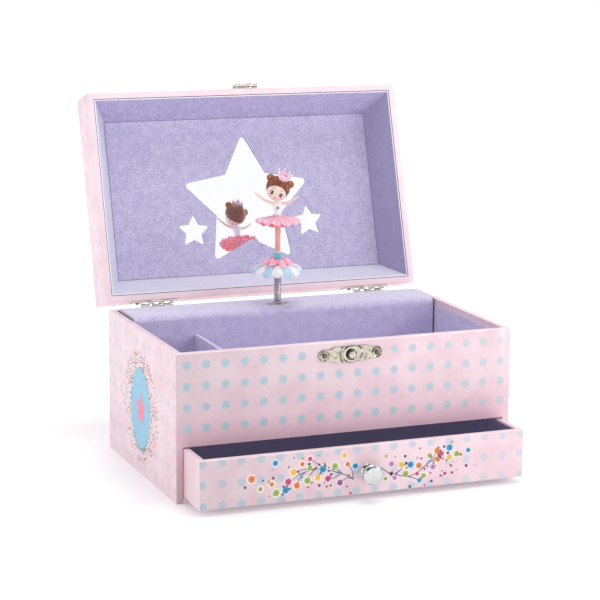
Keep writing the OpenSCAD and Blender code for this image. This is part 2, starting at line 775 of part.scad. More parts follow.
module dancer() {
    head_r = 7.1;
    head_z = 69;
    head = [for (a = [-75:15:90]) [head_r * cos(a), head_z + head_r * sin(a)]];
    color("peachpuff") on_spindle() {
        rotate_extrude() polygon(concat([[0, 31.2], [1.5, 31.2], [1.9, 46], [2.5, 49], [2.5, 53.2],
            [2.1, 55.5], [3.2, 59], [3, 60.6], [1.4, 61.4]], head));
        for (side = [-1, 1]) {
            limb([side * 2.4, 0, 59.9], [side * 7, -0.6, 61.2], 1, 0.9);
            limb([side * 7, -0.6, 61.2], [side * 12, -1, 65], 0.9, 0.9);
            translate([side * 5.6, 1, 74.2]) sphere(2.6, $fn = 24);
        }
        translate([2.8, 0, 74.5]) rotate([0, 8, 0]) cylinder(h = 6, r1 = 3, r2 = 4, $fn = 16);
    }
}

module tutu() {
    color("hotpink") on_spindle() rotate_extrude() polygon([[2.55, 50], [8, 49.4], [tutu_r - 0.8, 47.6],
        [tutu_r, 48.6], [tutu_r - 0.6, 50.4], [8, 52.4], [2.55, 53.2]]);
}

base_board();
back_wall();
side_wall(-1);  // left_wall
side_wall(1);  // right_wall
front_panel();
shelf_board();
floor_lining();
wall_lining();
movement_cover();
divider();
spindle_flange();
latch_plate();
latch_stud();
box_nails();
hinge_box_leaf(hinge_x[0]);  // hinge_left_box_leaf
hinge_box_leaf(hinge_x[1]);  // hinge_right_box_leaf
hinge_pins();
movement_plate();
movement_screws();
comb();
comb_screws();
barrel_bridge();
shaft_bracket();
governor_housing();
lid_top();
lid_end_rail(-1);  // lid_front_rail
lid_end_rail(1);  // lid_back_rail
lid_side_rail(-1);  // lid_left_rail
lid_side_rail(1);  // lid_right_rail
lid_ceiling_lining();
lid_slope_lining();
star_mirror();
hinge_lid_leaf(hinge_x[0]);  // hinge_left_lid_leaf
hinge_lid_leaf(hinge_x[1]);  // hinge_right_lid_leaf
lid_nails();
hasp_leaf();
hasp_pin();
hasp_tongue();
drawer_front();
drawer_side(-1);  // drawer_left_side
drawer_side(1);  // drawer_right_side
drawer_back();
drawer_bottom();
drawer_lining();
drawer_knob();
knob_screw();
winding_key();
winding_arbor();
spring_barrel();
mainspring();
pinned_cylinder();
cylinder_shaft();
governor_wheel();
governor_fly();
stop_wire();
spindle();
spring();
flower_base();
dancer();
tutu();
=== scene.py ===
"""The looks of a musical jewellery box: papered boards, flocked linings, printed art, metal fittings
and a small dancer on a spring. Sizes are in metres, and those of the prints and the dancer in mm."""

import json
import math
import random

import bmesh
import bpy
from mathutils import Matrix, Vector


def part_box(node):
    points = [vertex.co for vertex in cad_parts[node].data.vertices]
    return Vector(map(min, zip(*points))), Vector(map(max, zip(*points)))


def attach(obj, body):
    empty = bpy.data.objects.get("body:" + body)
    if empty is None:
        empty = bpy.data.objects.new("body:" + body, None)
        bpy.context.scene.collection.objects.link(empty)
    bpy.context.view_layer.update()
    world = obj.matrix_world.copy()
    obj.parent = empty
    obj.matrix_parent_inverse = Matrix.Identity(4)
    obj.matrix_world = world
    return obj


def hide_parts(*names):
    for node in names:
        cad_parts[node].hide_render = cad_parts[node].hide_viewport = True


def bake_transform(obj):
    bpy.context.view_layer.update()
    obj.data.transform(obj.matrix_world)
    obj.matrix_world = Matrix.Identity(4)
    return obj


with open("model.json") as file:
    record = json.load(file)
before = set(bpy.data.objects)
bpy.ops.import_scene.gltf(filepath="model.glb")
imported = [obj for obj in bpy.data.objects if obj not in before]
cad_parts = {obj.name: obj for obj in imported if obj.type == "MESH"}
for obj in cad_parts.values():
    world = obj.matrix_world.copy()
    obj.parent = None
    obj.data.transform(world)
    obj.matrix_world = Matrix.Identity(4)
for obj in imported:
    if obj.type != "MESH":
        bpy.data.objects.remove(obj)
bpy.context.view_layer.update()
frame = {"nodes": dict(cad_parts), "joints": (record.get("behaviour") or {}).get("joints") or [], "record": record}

MM = 0.001
NODES = frame["nodes"]
SLOTS = {part["node"]: part["material_slot"] for part in frame["record"]["subparts"]}
JOINTS = {joint["name"]: joint for joint in frame["joints"]}
HINGE = Vector(JOINTS["lid_hinge"]["pos_m"])
LID_OPEN = math.radians(-JOINTS["lid_hinge"]["range_deg"][0])
OPENED = Matrix.Translation(HINGE) @ Matrix.Rotation(-LID_OPEN, 4, "X") @ Matrix.Translation(-HINGE)
BOX_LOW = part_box("left_wall")[0]
BOX_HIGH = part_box("right_wall")[1]
DRAWER_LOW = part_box("drawer_front")[0]
DRAWER_HIGH = Vector(map(max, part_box("drawer_front")[1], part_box("drawer_back")[1]))
DECK_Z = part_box("movement_cover")[1].z
SPINDLE = Vector(JOINTS["dancer_spin"]["pos_m"][:2] + [DECK_Z])
CAMERA_TURN = math.radians(-21.745)  # the camera stands left of the box's front, by this angle
WHITE = (255, 255, 255)


# ---- Meshes ----

def shift(x, y, z):
    return Matrix.Translation((x, y, z))


def spin(angle, axis="Z"):
    return Matrix.Rotation(angle, 4, axis)


def around(count, first=0.0):
    """Evenly spaced angles round a circle, the first of them this share of a step along"""
    return [2 * math.pi * (i + first) / count for i in range(count)]


def polar(radius, angle):
    return radius * math.cos(angle), radius * math.sin(angle)


def skin(bm, rings, material=0, caps=True):
    """Joins rings of points into a closed skin. A ring of one point is a pole"""
    loops = [[bm.verts.new(point) for point in ring] for ring in rings]
    faces = []
    for a, b in zip(loops, loops[1:]):
        for i in range(max(len(a), len(b))):
            corners = [a[i % len(a)], a[(i + 1) % len(a)], b[(i + 1) % len(b)], b[i % len(b)]]
            faces.append(bm.faces.new(list(dict.fromkeys(corners))))
    if caps:
        faces += [bm.faces.new(loop) for loop in (loops[0], loops[-1]) if len(loop) > 2]
    for face in faces:
        face.material_index = material


def lathe(bm, place, profile, count=48, material=0):
    """Turns a profile of (radius, height) about the upright axis of place. Radius 0 makes a pole"""
    rings = [[place @ Vector((*polar(radius, a), height)) for a in around(count if radius else 1)]
             for radius, height in profile]
    skin(bm, rings, material)


def ball(bm, place, radii, material=0, rows=12, count=20, shape=None):
    """An ellipsoid in the directions of place. shape(direction) may scale each of its points"""
    rings = []
    for row in range(rows + 1):
        tilt = math.pi * row / rows - math.pi / 2
        ring = []
        for turn in around(1 if row in (0, rows) else count):
            d = Vector((*polar(math.cos(tilt), turn), math.sin(tilt)))
            scale = shape(d) if shape else 1
            ring.append(place @ Vector([scale * a * b for a, b in zip(d, radii)]))
        rings.append(ring)
    skin(bm, rings, material)


def tube(bm, points, radii, sides=12, material=0):
    """A round limb or wire along points, with a radius at each point and blunt ends"""
    side = (points[1] - points[0]).orthogonal()
    rings = []
    for i, point in enumerate(points):
        ahead = (points[min(i + 1, len(points) - 1)] - points[max(i - 1, 0)]).normalized()
        side = (side - ahead * side.dot(ahead)).normalized()
        up = ahead.cross(side)
        rings.append([point + side * x + up * y for x, y in (polar(radii[i], a) for a in around(sides))])
    first = (points[0] - points[1]).normalized() * radii[0] * 0.6
    last = (points[-1] - points[-2]).normalized() * radii[-1] * 0.6
    skin(bm, [[points[0] + first], *rings, [points[-1] + last]], material)


def limb(bm, place, points, radii, sides=12, material=0):
    """A tube in the directions of place, whose unit is a millimetre"""
    tube(bm, [place @ Vector(point) for point in points], [radius * MM for radius in radii], sides, material)


def smooth_line(points, steps=6):
    """A smooth curve through points, by Catmull and Rom's rule"""
    ends = [points[0] * 2 - points[1], *points, points[-1] * 2 - points[-2]]
    line = []
    for p0, p1, p2, p3 in zip(ends, ends[1:], ends[2:], ends[3:]):
        for step in range(steps):
            t = step / steps
            line.append(0.5 * (2 * p1 + (p2 - p0) * t + (2 * p0 - 5 * p1 + 4 * p2 - p3) * t * t
                               + (3 * p1 - p0 - 3 * p2 + p3) * t ** 3))
    return line + [points[-1]]


def new_piece(name, bm, materials, body, replaces=(), sharp_angle=40):
    """Makes a piece that rides on a body, smooth except where its faces meet at a sharp angle"""
    bmesh.ops.recalc_face_normals(bm, faces=bm.faces)
    for face in bm.faces:
        face.smooth = True
    for edge in bm.edges:
        edge.smooth = edge.calc_face_angle(0) < math.radians(sharp_angle)
    mesh = bpy.data.meshes.new(name)
    bm.to_mesh(mesh)
    bm.free()
    for material in materials:
        mesh.materials.append(material)
    piece = bpy.data.objects.new(name, mesh)
    bpy.context.scene.collection.objects.link(piece)
    if body:
        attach(piece, body)
    if replaces:
        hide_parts(*replaces)
    return piece


# ---- Materials ----

def linear(value):
    """A screen colour, three numbers from 0 to 255, as the linear colour that a shader takes. Any other value
    stays as it is"""
    if not (isinstance(value, tuple) and len(value) == 3):
        return value
    shares = [level / 255 for level in value]
    return (*[s / 12.92 if s <= 0.04045 else ((s + 0.055) / 1.055) ** 2.4 for s in shares], 1)


class Nodes:
    """A shader's node tree, and the sums it is made of. A value is a number or another node's socket"""

    def __init__(self, tree):
        self.tree = tree

    def add(self, kind, values=None, **settings):
        node = self.tree.nodes.new(kind)
        for key, value in settings.items():
            setattr(node, key, value)
        for key, value in (values or {}).items():
            self.join(value, node.inputs[key])
        return node

    def join(self, value, socket):
        if isinstance(value, bpy.types.NodeSocket):
            self.tree.links.new(value, socket)
        else:
            socket.default_value = value

    def sum(self, operation, a, b=0.0, c=0.0):
        return self.add("ShaderNodeMath", {0: a, 1: b, 2: c}, operation=operation).outputs[0]

    def plus(self, a, b):
        return self.sum("ADD", a, b)

    def minus(self, a, b):
        return self.sum("SUBTRACT", a, b)

    def times(self, a, b):
        return self.sum("MULTIPLY", a, b)

    def unsigned(self, value):
        return self.sum("ABSOLUTE", value)

    def length(self, a, b):
        return self.sum("SQRT", self.plus(self.times(a, a), self.times(b, b)))

    def between(self, share, a, b):
        return self.sum("MULTIPLY_ADD", self.minus(b, a), share, a)

    def step(self, value, low, high, first=0.0, last=1.0, kind="SMOOTHSTEP"):
        """Goes from first to last while value goes from low to high"""
        values = {0: value, 1: low, 2: high, 3: first, 4: last}
        return self.add("ShaderNodeMapRange", values, interpolation_type=kind).outputs[0]

    def split(self, vector):
        return list(self.add("ShaderNodeSeparateXYZ", {0: vector}).outputs)


class Paint(Nodes):
    """One material. Its colours and grain come from the piece's own coordinates"""

    def __init__(self, name, roughness=0.5, metallic=0.0, **constants):
        self.material = bpy.data.materials.new(name)
        self.material.use_nodes = True
        super().__init__(self.material.node_tree)
        self.shader = self.tree.nodes["Principled BSDF"]
        for socket, value in dict(constants, Roughness=roughness, Metallic=metallic).items():
            self.shader.inputs[socket.replace("_", " ")].default_value = linear(value)
        coordinates = self.add("ShaderNodeTexCoord")
        self.place = coordinates.outputs["Object"]
        self.normal = coordinates.outputs["Normal"]

    def mix(self, share, a, b):
        return self.add("ShaderNodeMix", {0: share, 6: linear(a), 7: linear(b)}, data_type="RGBA").outputs[2]

    def fade(self, value, low, high, a, b, most=1.0):
        """Colour a where value is at low, and the share most of colour b where it is at high"""
        return self.mix(self.step(value, low, high, 0.0, most), a, b)

    def noise(self, size, detail=2.0, place=None):
        """Noise from 0 to 1 whose patches are about size mm across"""
        values = {"Vector": place or self.place, "Scale": 1 / (size * MM), "Detail": detail}
        return self.add("ShaderNodeTexNoise", values).outputs[0]

    def stretched(self, *scale):
        return self.add("ShaderNodeMapping", {"Vector": self.place, "Scale": scale}).outputs[0]

    def shut(self, vector, centre=(0, 0, 0)):
        """Turns a place or a direction on the open lid to where it is when the lid is shut"""
        values = {"Vector": vector, "Center": centre, "Angle": LID_OPEN}
        return self.add("ShaderNodeVectorRotate", values, rotation_type="X_AXIS").outputs[0]

    def distance(self, point):
        values = {0: self.place, 1: point}
        return self.add("ShaderNodeVectorMath", values, operation="DISTANCE").outputs["Value"]

    def turned_away(self):
        """1 on the faces that turn away from the front and the back"""
        return self.step(self.unsigned(self.split(self.normal)[1]), 0.96, 0.75)

    def finish(self, tone, rough=None, bump=None):
        """The material, given its colour. rough is noise with the least and most roughness, and bump a height
        with its depth in mm and its strength"""
        inputs = self.shader.inputs
        self.join(tone, inputs["Base Color"])
        if rough:
            self.join(self.step(rough[0], 0.3, 0.7, *rough[1:]), inputs["Roughness"])
        if bump:
            values = {"Height": bump[0], "Distance": bump[1] * MM, "Strength": bump[2]}
            self.join(self.add("ShaderNodeBump", values).outputs[0], inputs["Normal"])
        return self.material


DOT_PITCH = Vector((11.05, 11.65)) * MM
DOT_RADIUS = 2.3 * MM
DOT_WANDER = 0.5 * MM  # how far a dot's edge strays
DOT_BLUE = (182, 207, 222)
DOT_GREEN = (180, 210, 211)
DOT_LILAC = (188, 199, 224)
PAPER = (244, 219, 227)
PAPER_DEEP = (237, 205, 215)
PAPER_LOW_SHADE = (252, 198, 215)  # painted shade and pink bounce light towards the bottom of the front
PAPER_EDGE_HIGHLIGHT = (255, 246, 249)  # painted highlight along the edges that face up
PAPER_RIM_LIGHT = (255, 236, 246)  # painted light on the lid's rim
POST_SHADE = (196, 166, 174)  # painted shade beside the drawer, deepening downward
SOFT_SHADE = (128, 124, 130)  # painted shade: the front's paper and dots deepen towards its left end
DOT_SHADE = (84, 130, 146)
TURNED = (0.66, 0.74)  # a face belongs to an axis when its normal's part along it passes these
LATCH_CLEAR = (20.5 * MM, 7 * MM)  # the front has no dots this near the latch's middle
STRIP_TOP = 35 * MM  # nor on the strip over the drawer, up to here


def dot_rows(paint, across, along, first_dot, strength):
    """The share of ink in rows of round dots with ragged edges, and each dot's column and row"""
    cells = []
    offsets = []
    for value, start, pitch in zip((across, along), first_dot, DOT_PITCH):
        cell = paint.sum("DIVIDE", paint.minus(value, start), pitch)
        cells.append(paint.sum("ROUND", cell))
        offsets.append(paint.times(paint.minus(cell, cells[-1]), pitch))
    away = paint.minus(paint.length(*offsets), DOT_WANDER / 2)
    ragged = paint.sum("MULTIPLY_ADD", paint.noise(0.8), DOT_WANDER, away)
    return paint.step(ragged, DOT_RADIUS * 1.25, DOT_RADIUS * 0.75, 0.0, strength), cells


def printed_paper(name, first_dot, side_strength=0.45, on_lid=False, latch=None, strength=1.0):
    """Pale pink paper with rows of soft blue dots, laid out from first_dot on the upright faces. The lid has
    them on its top and ends. latch is the middle of the latch, for the paper that goes round the box"""
    paint = Paint(name, roughness=0.4, Coat_Weight=0.12, Coat_Roughness=0.25)
    place, normal = paint.place, paint.normal
    if on_lid:
        place, normal = paint.shut(place, HINGE), paint.shut(normal)
    x, y, z = paint.split(place)
    facing = paint.split(normal)
    on_x, on_y = [paint.step(paint.unsigned(part), *TURNED) for part in facing[:2]]
    on_z = paint.step(facing[2], *TURNED)
    front = paint.step(paint.minus(0.0, facing[1]), *TURNED)
    along = paint.between(on_z, z, y) if on_lid else z
    inside, cells = dot_rows(paint, paint.between(on_x, x, y), along, first_dot, strength)
    printed = paint.sum("MULTIPLY_ADD", on_x, side_strength, on_z if on_lid else on_y)
    cell_vector = paint.add("ShaderNodeCombineXYZ", {0: cells[0], 1: cells[1], 2: on_x}).outputs[0]
    chance = paint.split(paint.add("ShaderNodeTexWhiteNoise", {"Vector": cell_vector}).outputs["Color"])
    dot = paint.fade(chance[0], 0.45, 1.0, DOT_BLUE, DOT_GREEN)
    dot = paint.fade(chance[1], 0.6, 1.1, dot, DOT_LILAC)
    paper = paint.fade(paint.noise(14, 4.0), 0.35, 0.7, PAPER, PAPER_DEEP)
    if latch:
        reach = [paint.unsigned(paint.sum("DIVIDE", paint.minus(value, middle), clear))
                 for value, middle, clear in zip((x, z), (latch.x, latch.z), LATCH_CLEAR)]
        off_latch = paint.step(paint.sum("MAXIMUM", *reach), 0.99, 1.01)
        strip = paint.times(front, paint.step(z, STRIP_TOP + 0.5 * MM, STRIP_TOP - 0.5 * MM))
        printed = paint.times(printed, paint.times(off_latch, paint.minus(1.0, strip)))
        # Painted shade and pink bounce light: the front's paper deepens towards the drawer below it
        low_shade = paint.step(z, 62 * MM, 20 * MM, 0.0, 0.75)
        paper = paint.mix(paint.times(front, low_shade), paper, PAPER_LOW_SHADE)
        # Painted shade on the post beside the drawer
        post_shade = paint.times(paint.step(x, -84 * MM, -93 * MM), paint.step(z, 60 * MM, 5 * MM, 0.0, 0.8))
        paper = paint.mix(paint.times(front, post_shade), paper, POST_SHADE)
    if on_lid:
        # Painted light: the lid's rim, facing down when shut, is paler
        paper = paint.fade(facing[2], -0.7, -0.85, paper, PAPER_RIM_LIGHT, 0.4)
    grain = paint.noise(0.35, 3.0)
    paper = paint.fade(grain, 0.5, 0.9, paper, (255, 246, 244), 0.25)
    dot = paint.fade(grain, 0.35, 0.8, dot, PAPER, 0.3)
    if not on_lid:
        # Painted shade towards the front's left end
        left_shade = paint.times(front, paint.step(x, 30 * MM, -98 * MM, 0.0, 0.3, "LINEAR"))
        if latch:
            left_shade = paint.times(left_shade, paint.step(z, 30 * MM, 58 * MM, 0.4, 1.0))
        paper = paint.mix(left_shade, paper, SOFT_SHADE)
        dot = paint.mix(left_shade, dot, DOT_SHADE)
        # Painted light: the front's dots pale towards its right end
        right_light = paint.step(x, 10 * MM, 95 * MM, 0.0, 0.3)
        dot = paint.mix(paint.times(front, right_light), dot, PAPER)
    tone = paint.mix(paint.times(inside, printed), paper, dot)
    # Painted highlight on the rounded edges that face up
    edge_highlight = paint.times(paint.step(facing[2], 0.12, 0.4), paint.step(facing[2], 0.99, 0.85, 0.0, 0.75))
    tone = paint.mix(edge_highlight, tone, PAPER_EDGE_HIGHLIGHT)
    return paint.finish(tone, (paint.noise(3), 0.34, 0.48), (grain, 0.03, 0.35))


# Each lining has its own tones of one flock, paler or deeper: painted light and shade for how each lining is lit
BOX_FLOCK = (216, 209, 237), (204, 196, 229)
CEILING_FLOCK = (201, 195, 226), (189, 182, 217)
SLOPE_FLOCK = (184, 176, 213), (172, 163, 204)
SLOPE_WIDTH = 11 * MM  # from the ceiling's edge to the cut edge of the slope's card


def flock(name, tones):
    """Short velvety fibres that lean here and there, brighter where the eye grazes them. The slope's lining also
    shows its white card and, along the lid's rim, a painted shadow for the gap behind it"""
    paint = Paint(name, roughness=0.95, Sheen_Weight=1.0, Sheen_Roughness=0.35,
                  Sheen_Tint=(250, 252, 252), Specular_IOR_Level=0.1)
    fibres = paint.noise(0.75, 6.0)
    tone = paint.fade(paint.noise(5, 6.0), 0.32, 0.68, tones[1], tones[0])
    tone = paint.fade(fibres, 0.5, 0.68, tone, (232, 228, 244), 0.65)
    tone = paint.fade(fibres, 0.49, 0.34, tone, (150, 140, 188), 0.5)
    facing = paint.split(paint.shut(paint.normal))
    if tones == CEILING_FLOCK:
        # Painted shade on the lining's cut edges, round the star
        tone = paint.fade(paint.unsigned(facing[2]), 0.7, 0.4, tone, (78, 70, 104))
    if tones == SLOPE_FLOCK:
        # Painted light on the slope that faces the front when shut, and painted shade on the slope that faces left
        tone = paint.fade(facing[1], 0.3, -0.3, tone, (232, 232, 242), 0.62)
        tone = paint.fade(facing[0], -0.2, -0.6, tone, (142, 132, 176), 0.6)
        x, y, _ = paint.split(paint.shut(paint.place, HINGE))
        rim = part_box("lid_ceiling_lining")[1].x + SLOPE_WIDTH
        beyond = paint.sum("MAXIMUM", paint.minus(paint.unsigned(x), rim),
                           paint.minus(paint.unsigned(y), BOX_HIGH.y - BOX_HIGH.x + rim))
        # The card's cut edge is white, with a painted shadow for the gap behind it next to the rim
        card = paint.fade(beyond, -0.5 * MM, -0.35 * MM, (250, 247, 252), (96, 86, 116))
        tone = paint.fade(facing[2], -0.6, -0.8, tone, card)
    return paint.finish(tone, bump=(paint.plus(fibres, paint.noise(0.9)), 0.2, 0.7))


EDGE_SHADE = (62, 54, 50)  # painted shade and dark reflection where plating faces neither the front nor the back


def metal(name, colour, tarnish, roughness, line_size=0.5, patch=4, edge=None):
    """Plated or bare metal with faint polishing lines and dull patches, and maybe painted shade on its edges"""
    paint = Paint(name, metallic=1.0)
    lines = paint.noise(line_size, 4.0, paint.stretched(0.15, 1.0, 1.0))
    tone = paint.fade(paint.noise(patch, 3.0), 0.45, 0.75, colour, tarnish, 0.6)
    if edge:
        # Painted shade on the edges
        tone = paint.mix(paint.turned_away(), tone, edge)
    return paint.finish(tone, (lines, *roughness), (lines, 0.02, 0.4))


def ringed_metal(node):
    """Plating on a turned stud, with painted shade in the grooves between its rings"""
    low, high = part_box(node)
    middle = (low + high) / 2
    paint = Paint(node + "_plating", metallic=1.0)
    x, _, z = paint.split(paint.place)
    out = paint.length(paint.minus(x, middle.x), paint.minus(z, middle.z))
    groove = paint.sum("COSINE", paint.times(out, 4 * math.pi / (high.x - low.x)))
    # Painted shade in the grooves
    tone = paint.fade(groove, -0.7, -0.97, (206, 199, 190), (88, 80, 76))
    tone = paint.fade(paint.noise(1.2), 0.5, 0.75, tone, (150, 142, 132), 0.5)
    return paint.finish(tone, (paint.noise(0.8), 0.08, 0.22), (paint.noise(0.5), 0.02, 0.4))


def stamped_metal(node, nails):
    """Plating on a stamped plate, raised round its middle and dished round its two nails, which are this far
    out. Painted shade lies in patches where it steps, and on its edges"""
    middle = sum(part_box(node), Vector()) / 2
    paint = Paint(node + "_plating", metallic=1.0)
    patches = paint.noise(1.8, 3.0)
    out = paint.distance(middle)
    end = paint.sum("MINIMUM", *[paint.distance(middle + Vector((side * nails, 0, 0))) for side in (-1, 1)])
    steps = [paint.step(paint.unsigned(paint.minus(away, radius)), width, 0.15 * MM)
             for away, radius, width in ((out, 6.5 * MM, 0.9 * MM), (end, 2.6 * MM, 0.7 * MM))]
    # Painted shade in patches where the plate steps
    step_shade = paint.times(paint.sum("MAXIMUM", *steps), paint.step(patches, 0.35, 0.6, 0.1, 0.75))
    tone = paint.fade(patches, 0.4, 0.7, (198, 190, 176), (134, 125, 112), 0.8)
    tone = paint.mix(step_shade, tone, (58, 52, 46))
    relief = paint.plus(paint.step(out, 7.4 * MM, 5.6 * MM), paint.step(end, 1.9 * MM, 3.3 * MM))
    # Painted shade on the plate's edges
    tone = paint.mix(paint.turned_away(), tone, EDGE_SHADE)
    return paint.finish(tone, (patches, 0.12, 0.3), (relief, 0.5, 0.9))


def plastic(name, colour, shade, roughness=0.3, size=1.5, **constants):
    """Moulded or painted plastic, with brush-thick and brush-thin areas"""
    paint = Paint(name, roughness=roughness, **constants)
    tone = paint.fade(paint.noise(size, 3.0), 0.35, 0.7, colour, shade)
    rough = paint.noise(size * 0.6), roughness * 0.8, roughness * 1.4
    return paint.finish(tone, rough, (paint.noise(size * 0.3), 0.03, 0.3))


def matte_paper(name, colour, shade, **constants):
    """Uncoated paper with fine fibres"""
    paint = Paint(name, roughness=0.7, **constants)
    fibres = paint.noise(0.4, 4.0)
    tone = paint.fade(paint.noise(6, 4.0), 0.35, 0.7, colour, shade)
    tone = paint.fade(fibres, 0.5, 0.85, tone, (150, 140, 170), 0.3)
    return paint.finish(tone, (fibres, 0.6, 0.8), (fibres, 0.04, 0.4))


# The thin mirror lies a few degrees askew in its frame, which moves the dancer's reflection
MIRROR_SKEW = Matrix.Rotation(math.radians(-8.0), 3, "Z") @ Matrix.Rotation(math.radians(1.1), 3, "X")


def mirror_glass():
    """Silvered plastic with the faintest haze, and a faint glow of painted light"""
    # Painted light: a faint white glow
    paint = Paint("mirror_silver", metallic=1.0, Emission_Color=WHITE, Emission_Strength=0.03)
    haze = paint.noise(9, 3.0)
    facing = MIRROR_SKEW @ OPENED.to_3x3() @ Vector((0, 0, -1))
    turned = paint.add("ShaderNodeVectorTransform", {0: facing}, vector_type="NORMAL", convert_from="OBJECT",
                       convert_to="WORLD")
    paint.join(turned.outputs[0], paint.shader.inputs["Normal"])
    return paint.finish(paint.mix(haze, (253, 253, 254), (249, 250, 253)), (haze, 0.01, 0.03))


INKS = dict(
    orange=(222, 126, 60), blue=(20, 138, 182), olive=(172, 166, 90), magenta=(200, 60, 116),
    green=(162, 178, 76), yellow=(230, 192, 84), purple=(146, 78, 146), lilac=(198, 150, 196),
    navy=(40, 52, 92), red=(212, 80, 84), twig=(98, 90, 126), sky=(128, 194, 224),
    pink=(236, 124, 162), peach=(240, 180, 142), cream=(255, 250, 240),
    deep_blue=(12, 98, 144), rust=(188, 92, 46), leaf=(132, 144, 58), plum=(140, 46, 96),
    sky_glow=(200, 228, 242), peach_glow=(253, 228, 214), pink_glow=(252, 220, 232),
    leaf_glow=(236, 236, 222), violet=(112, 58, 122), ochre=(222, 178, 76),
)
INK_NAMES = list(INKS)


def ink(name):
    """Printing ink with a screen of lighter specks"""
    paint = Paint("ink_" + name, roughness=0.38, Coat_Weight=0.12, Coat_Roughness=0.25)
    tone = paint.fade(paint.noise(0.4, 3.0), 0.45, 0.75, INKS[name], WHITE, 0.22)
    return paint.finish(tone, (paint.noise(2), 0.32, 0.46))


# ---- Boards ----

def papered_board(node, body, material, low, high, on_lid=False):
    """A CAD board whose outer edges are a little round, where the paper wraps them"""
    bm = bmesh.new()
    bm.from_mesh(NODES[node].data)
    if on_lid:
        bm.transform(OPENED.inverted())
    bmesh.ops.remove_doubles(bm, verts=bm.verts, dist=0.002 * MM)
    bmesh.ops.dissolve_limit(bm, angle_limit=0.02, verts=bm.verts, edges=bm.edges)

    def is_outer(edge):
        flush = 0
        for axis in range(3):
            for limit in (low[axis], high[axis]):
                flush += all(abs(vert.co[axis] - limit) < 0.01 * MM for vert in edge.verts)
        return flush >= 2

    outer = [edge for edge in bm.edges if is_outer(edge)]
    bmesh.ops.bevel(bm, geom=outer, offset=0.5 * MM, segments=3, profile=0.5, affect="EDGES")
    if on_lid:
        bm.transform(OPENED)
    new_piece(node + "_papered", bm, [material], body, [node], 20)


def boards():
    """Every papered board of the box, the drawer and the lid"""
    box_paper = printed_paper("box_paper", (BOX_LOW.x + 6.1 * MM, BOX_LOW.z + 53 * MM),
                              latch=sum(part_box("latch_stud"), Vector()) / 2)
    drawer_paper = printed_paper("drawer_front_paper", (BOX_LOW.x + 5.8 * MM, BOX_LOW.z + 17 * MM), 0.0,
                                 strength=0.8)
    lid_paper = printed_paper("lid_paper", (BOX_LOW.x + 6.1 * MM, BOX_HIGH.z + 6 * MM), 0.35, True)
    top, rail = [[OPENED.inverted() @ vert.co for vert in NODES[node].data.vertices]
                 for node in ("lid_top", "lid_left_rail")]
    lid_high = Vector([max(point[axis] for point in top) for axis in range(3)])
    lid_low = Vector((BOX_LOW.x, BOX_LOW.y, min(point.z for point in rail)))
    boards_of = {
        "box": ("left_wall right_wall front_panel back_wall", box_paper, BOX_LOW, BOX_HIGH),
        "drawer": ("drawer_front drawer_left_side drawer_right_side drawer_back", drawer_paper,
                   DRAWER_LOW, DRAWER_HIGH),
        "lid": ("lid_top lid_front_rail lid_back_rail lid_left_rail lid_right_rail", lid_paper,
                lid_low, lid_high, True),
    }
    for body, (nodes, *paper) in boards_of.items():
        for node in nodes.split():
            papered_board(node, body, *paper)


# ---- Printed art ----

INK_LIFT = 0.04 * MM
INK_SINK = 0.02 * MM


def stamp(bm, outline, place, level, name):
    """A thin closed patch of ink on a board. level 0 is printed first, and higher levels over it"""
    heights = (-INK_SINK, INK_LIFT * (1 + 0.5 * level))
    skin(bm, [[place(u, v, height) for u, v in outline] for height in heights], INK_NAMES.index(name))


def disc(bm, u, v, radius, place, level, name, count=20):
    outline = [(u + x, v + y) for x, y in (polar(radius, a) for a in around(count))]
    stamp(bm, outline, place, level, name)


def stroke(bm, points, width, place, name):
    """A printed line, tapering towards its end"""
    line = smooth_line([Vector(point) for point in points])
    low, high = -INK_SINK, INK_LIFT * 1.5
    rings = []
    for i, point in enumerate(line):
        ahead = (line[min(i + 1, len(line) - 1)] - line[max(i - 1, 0)]).normalized()
        half = Vector((-ahead.y, ahead.x)) * (width / 2 * (1.1 - 0.5 * i / len(line)))
        a, b = point + half, point - half
        rings.append([place(*a, low), place(*a, high), place(*b, high), place(*b, low)])
    skin(bm, rings, INK_NAMES.index(name))


# The two sprigs' berries: colour, place across, height above the base and radius, in mm
BERRIES = [
    ("orange", -66.5, 18, 2.0), ("blue", -53, 25.5, 1.5), ("olive", -61.5, 12, 1.3),
    ("orange", -55, 14, 1.3), ("green", -52.5, 9, 1.9), ("blue", -47, 10, 1.9),
    ("magenta", -45.5, 14.5, 1.9), ("yellow", -42.5, 19.5, 1.8), ("orange", -40.5, 12, 1.8),
    ("orange", -37.5, 23.5, 1.3), ("magenta", -33, 26, 1.3), ("green", -33, 21, 1.5),
    ("green", -34.5, 14, 1.9), ("yellow", -28.5, 15, 1.7), ("blue", -25.5, 19.5, 1.9),
    ("magenta", -22.5, 14, 1.8), ("green", -18.5, 20.5, 1.8), ("purple", -15.5, 11, 1.7),
    ("orange", -11, 21, 1.3), ("yellow", -13, 26, 1.4), ("blue", -6.5, 19.5, 1.5), ("lilac", 15, 18.5, 1.7),
    ("yellow", 21, 17.5, 1.6), ("blue", 26.5, 17, 1.8), ("orange", 31.5, 16, 1.7), ("green", 23.5, 12, 1.8),
    ("magenta", 30.5, 11.5, 1.1), ("olive", 34.5, 10, 1.4), ("blue", 32, 7.5, 1.2),
    ("olive", 11.5, 10.5, 1.1), ("lilac", 17, 10.5, 1.4), ("lilac", 40, 14.5, 1.7),
    ("orange", 43, 18.5, 1.6), ("orange", 42.5, 23.5, 1.7), ("magenta", 45, 21.5, 1.6),
    ("olive", 38, 21, 1.4), ("yellow", 50, 19, 1.6), ("blue", 50, 24.5, 1.8), ("green", 54.5, 20.5, 1.7),
    ("blue", 61.5, 22, 1.2), ("magenta", 47.5, 10, 1.1),
]
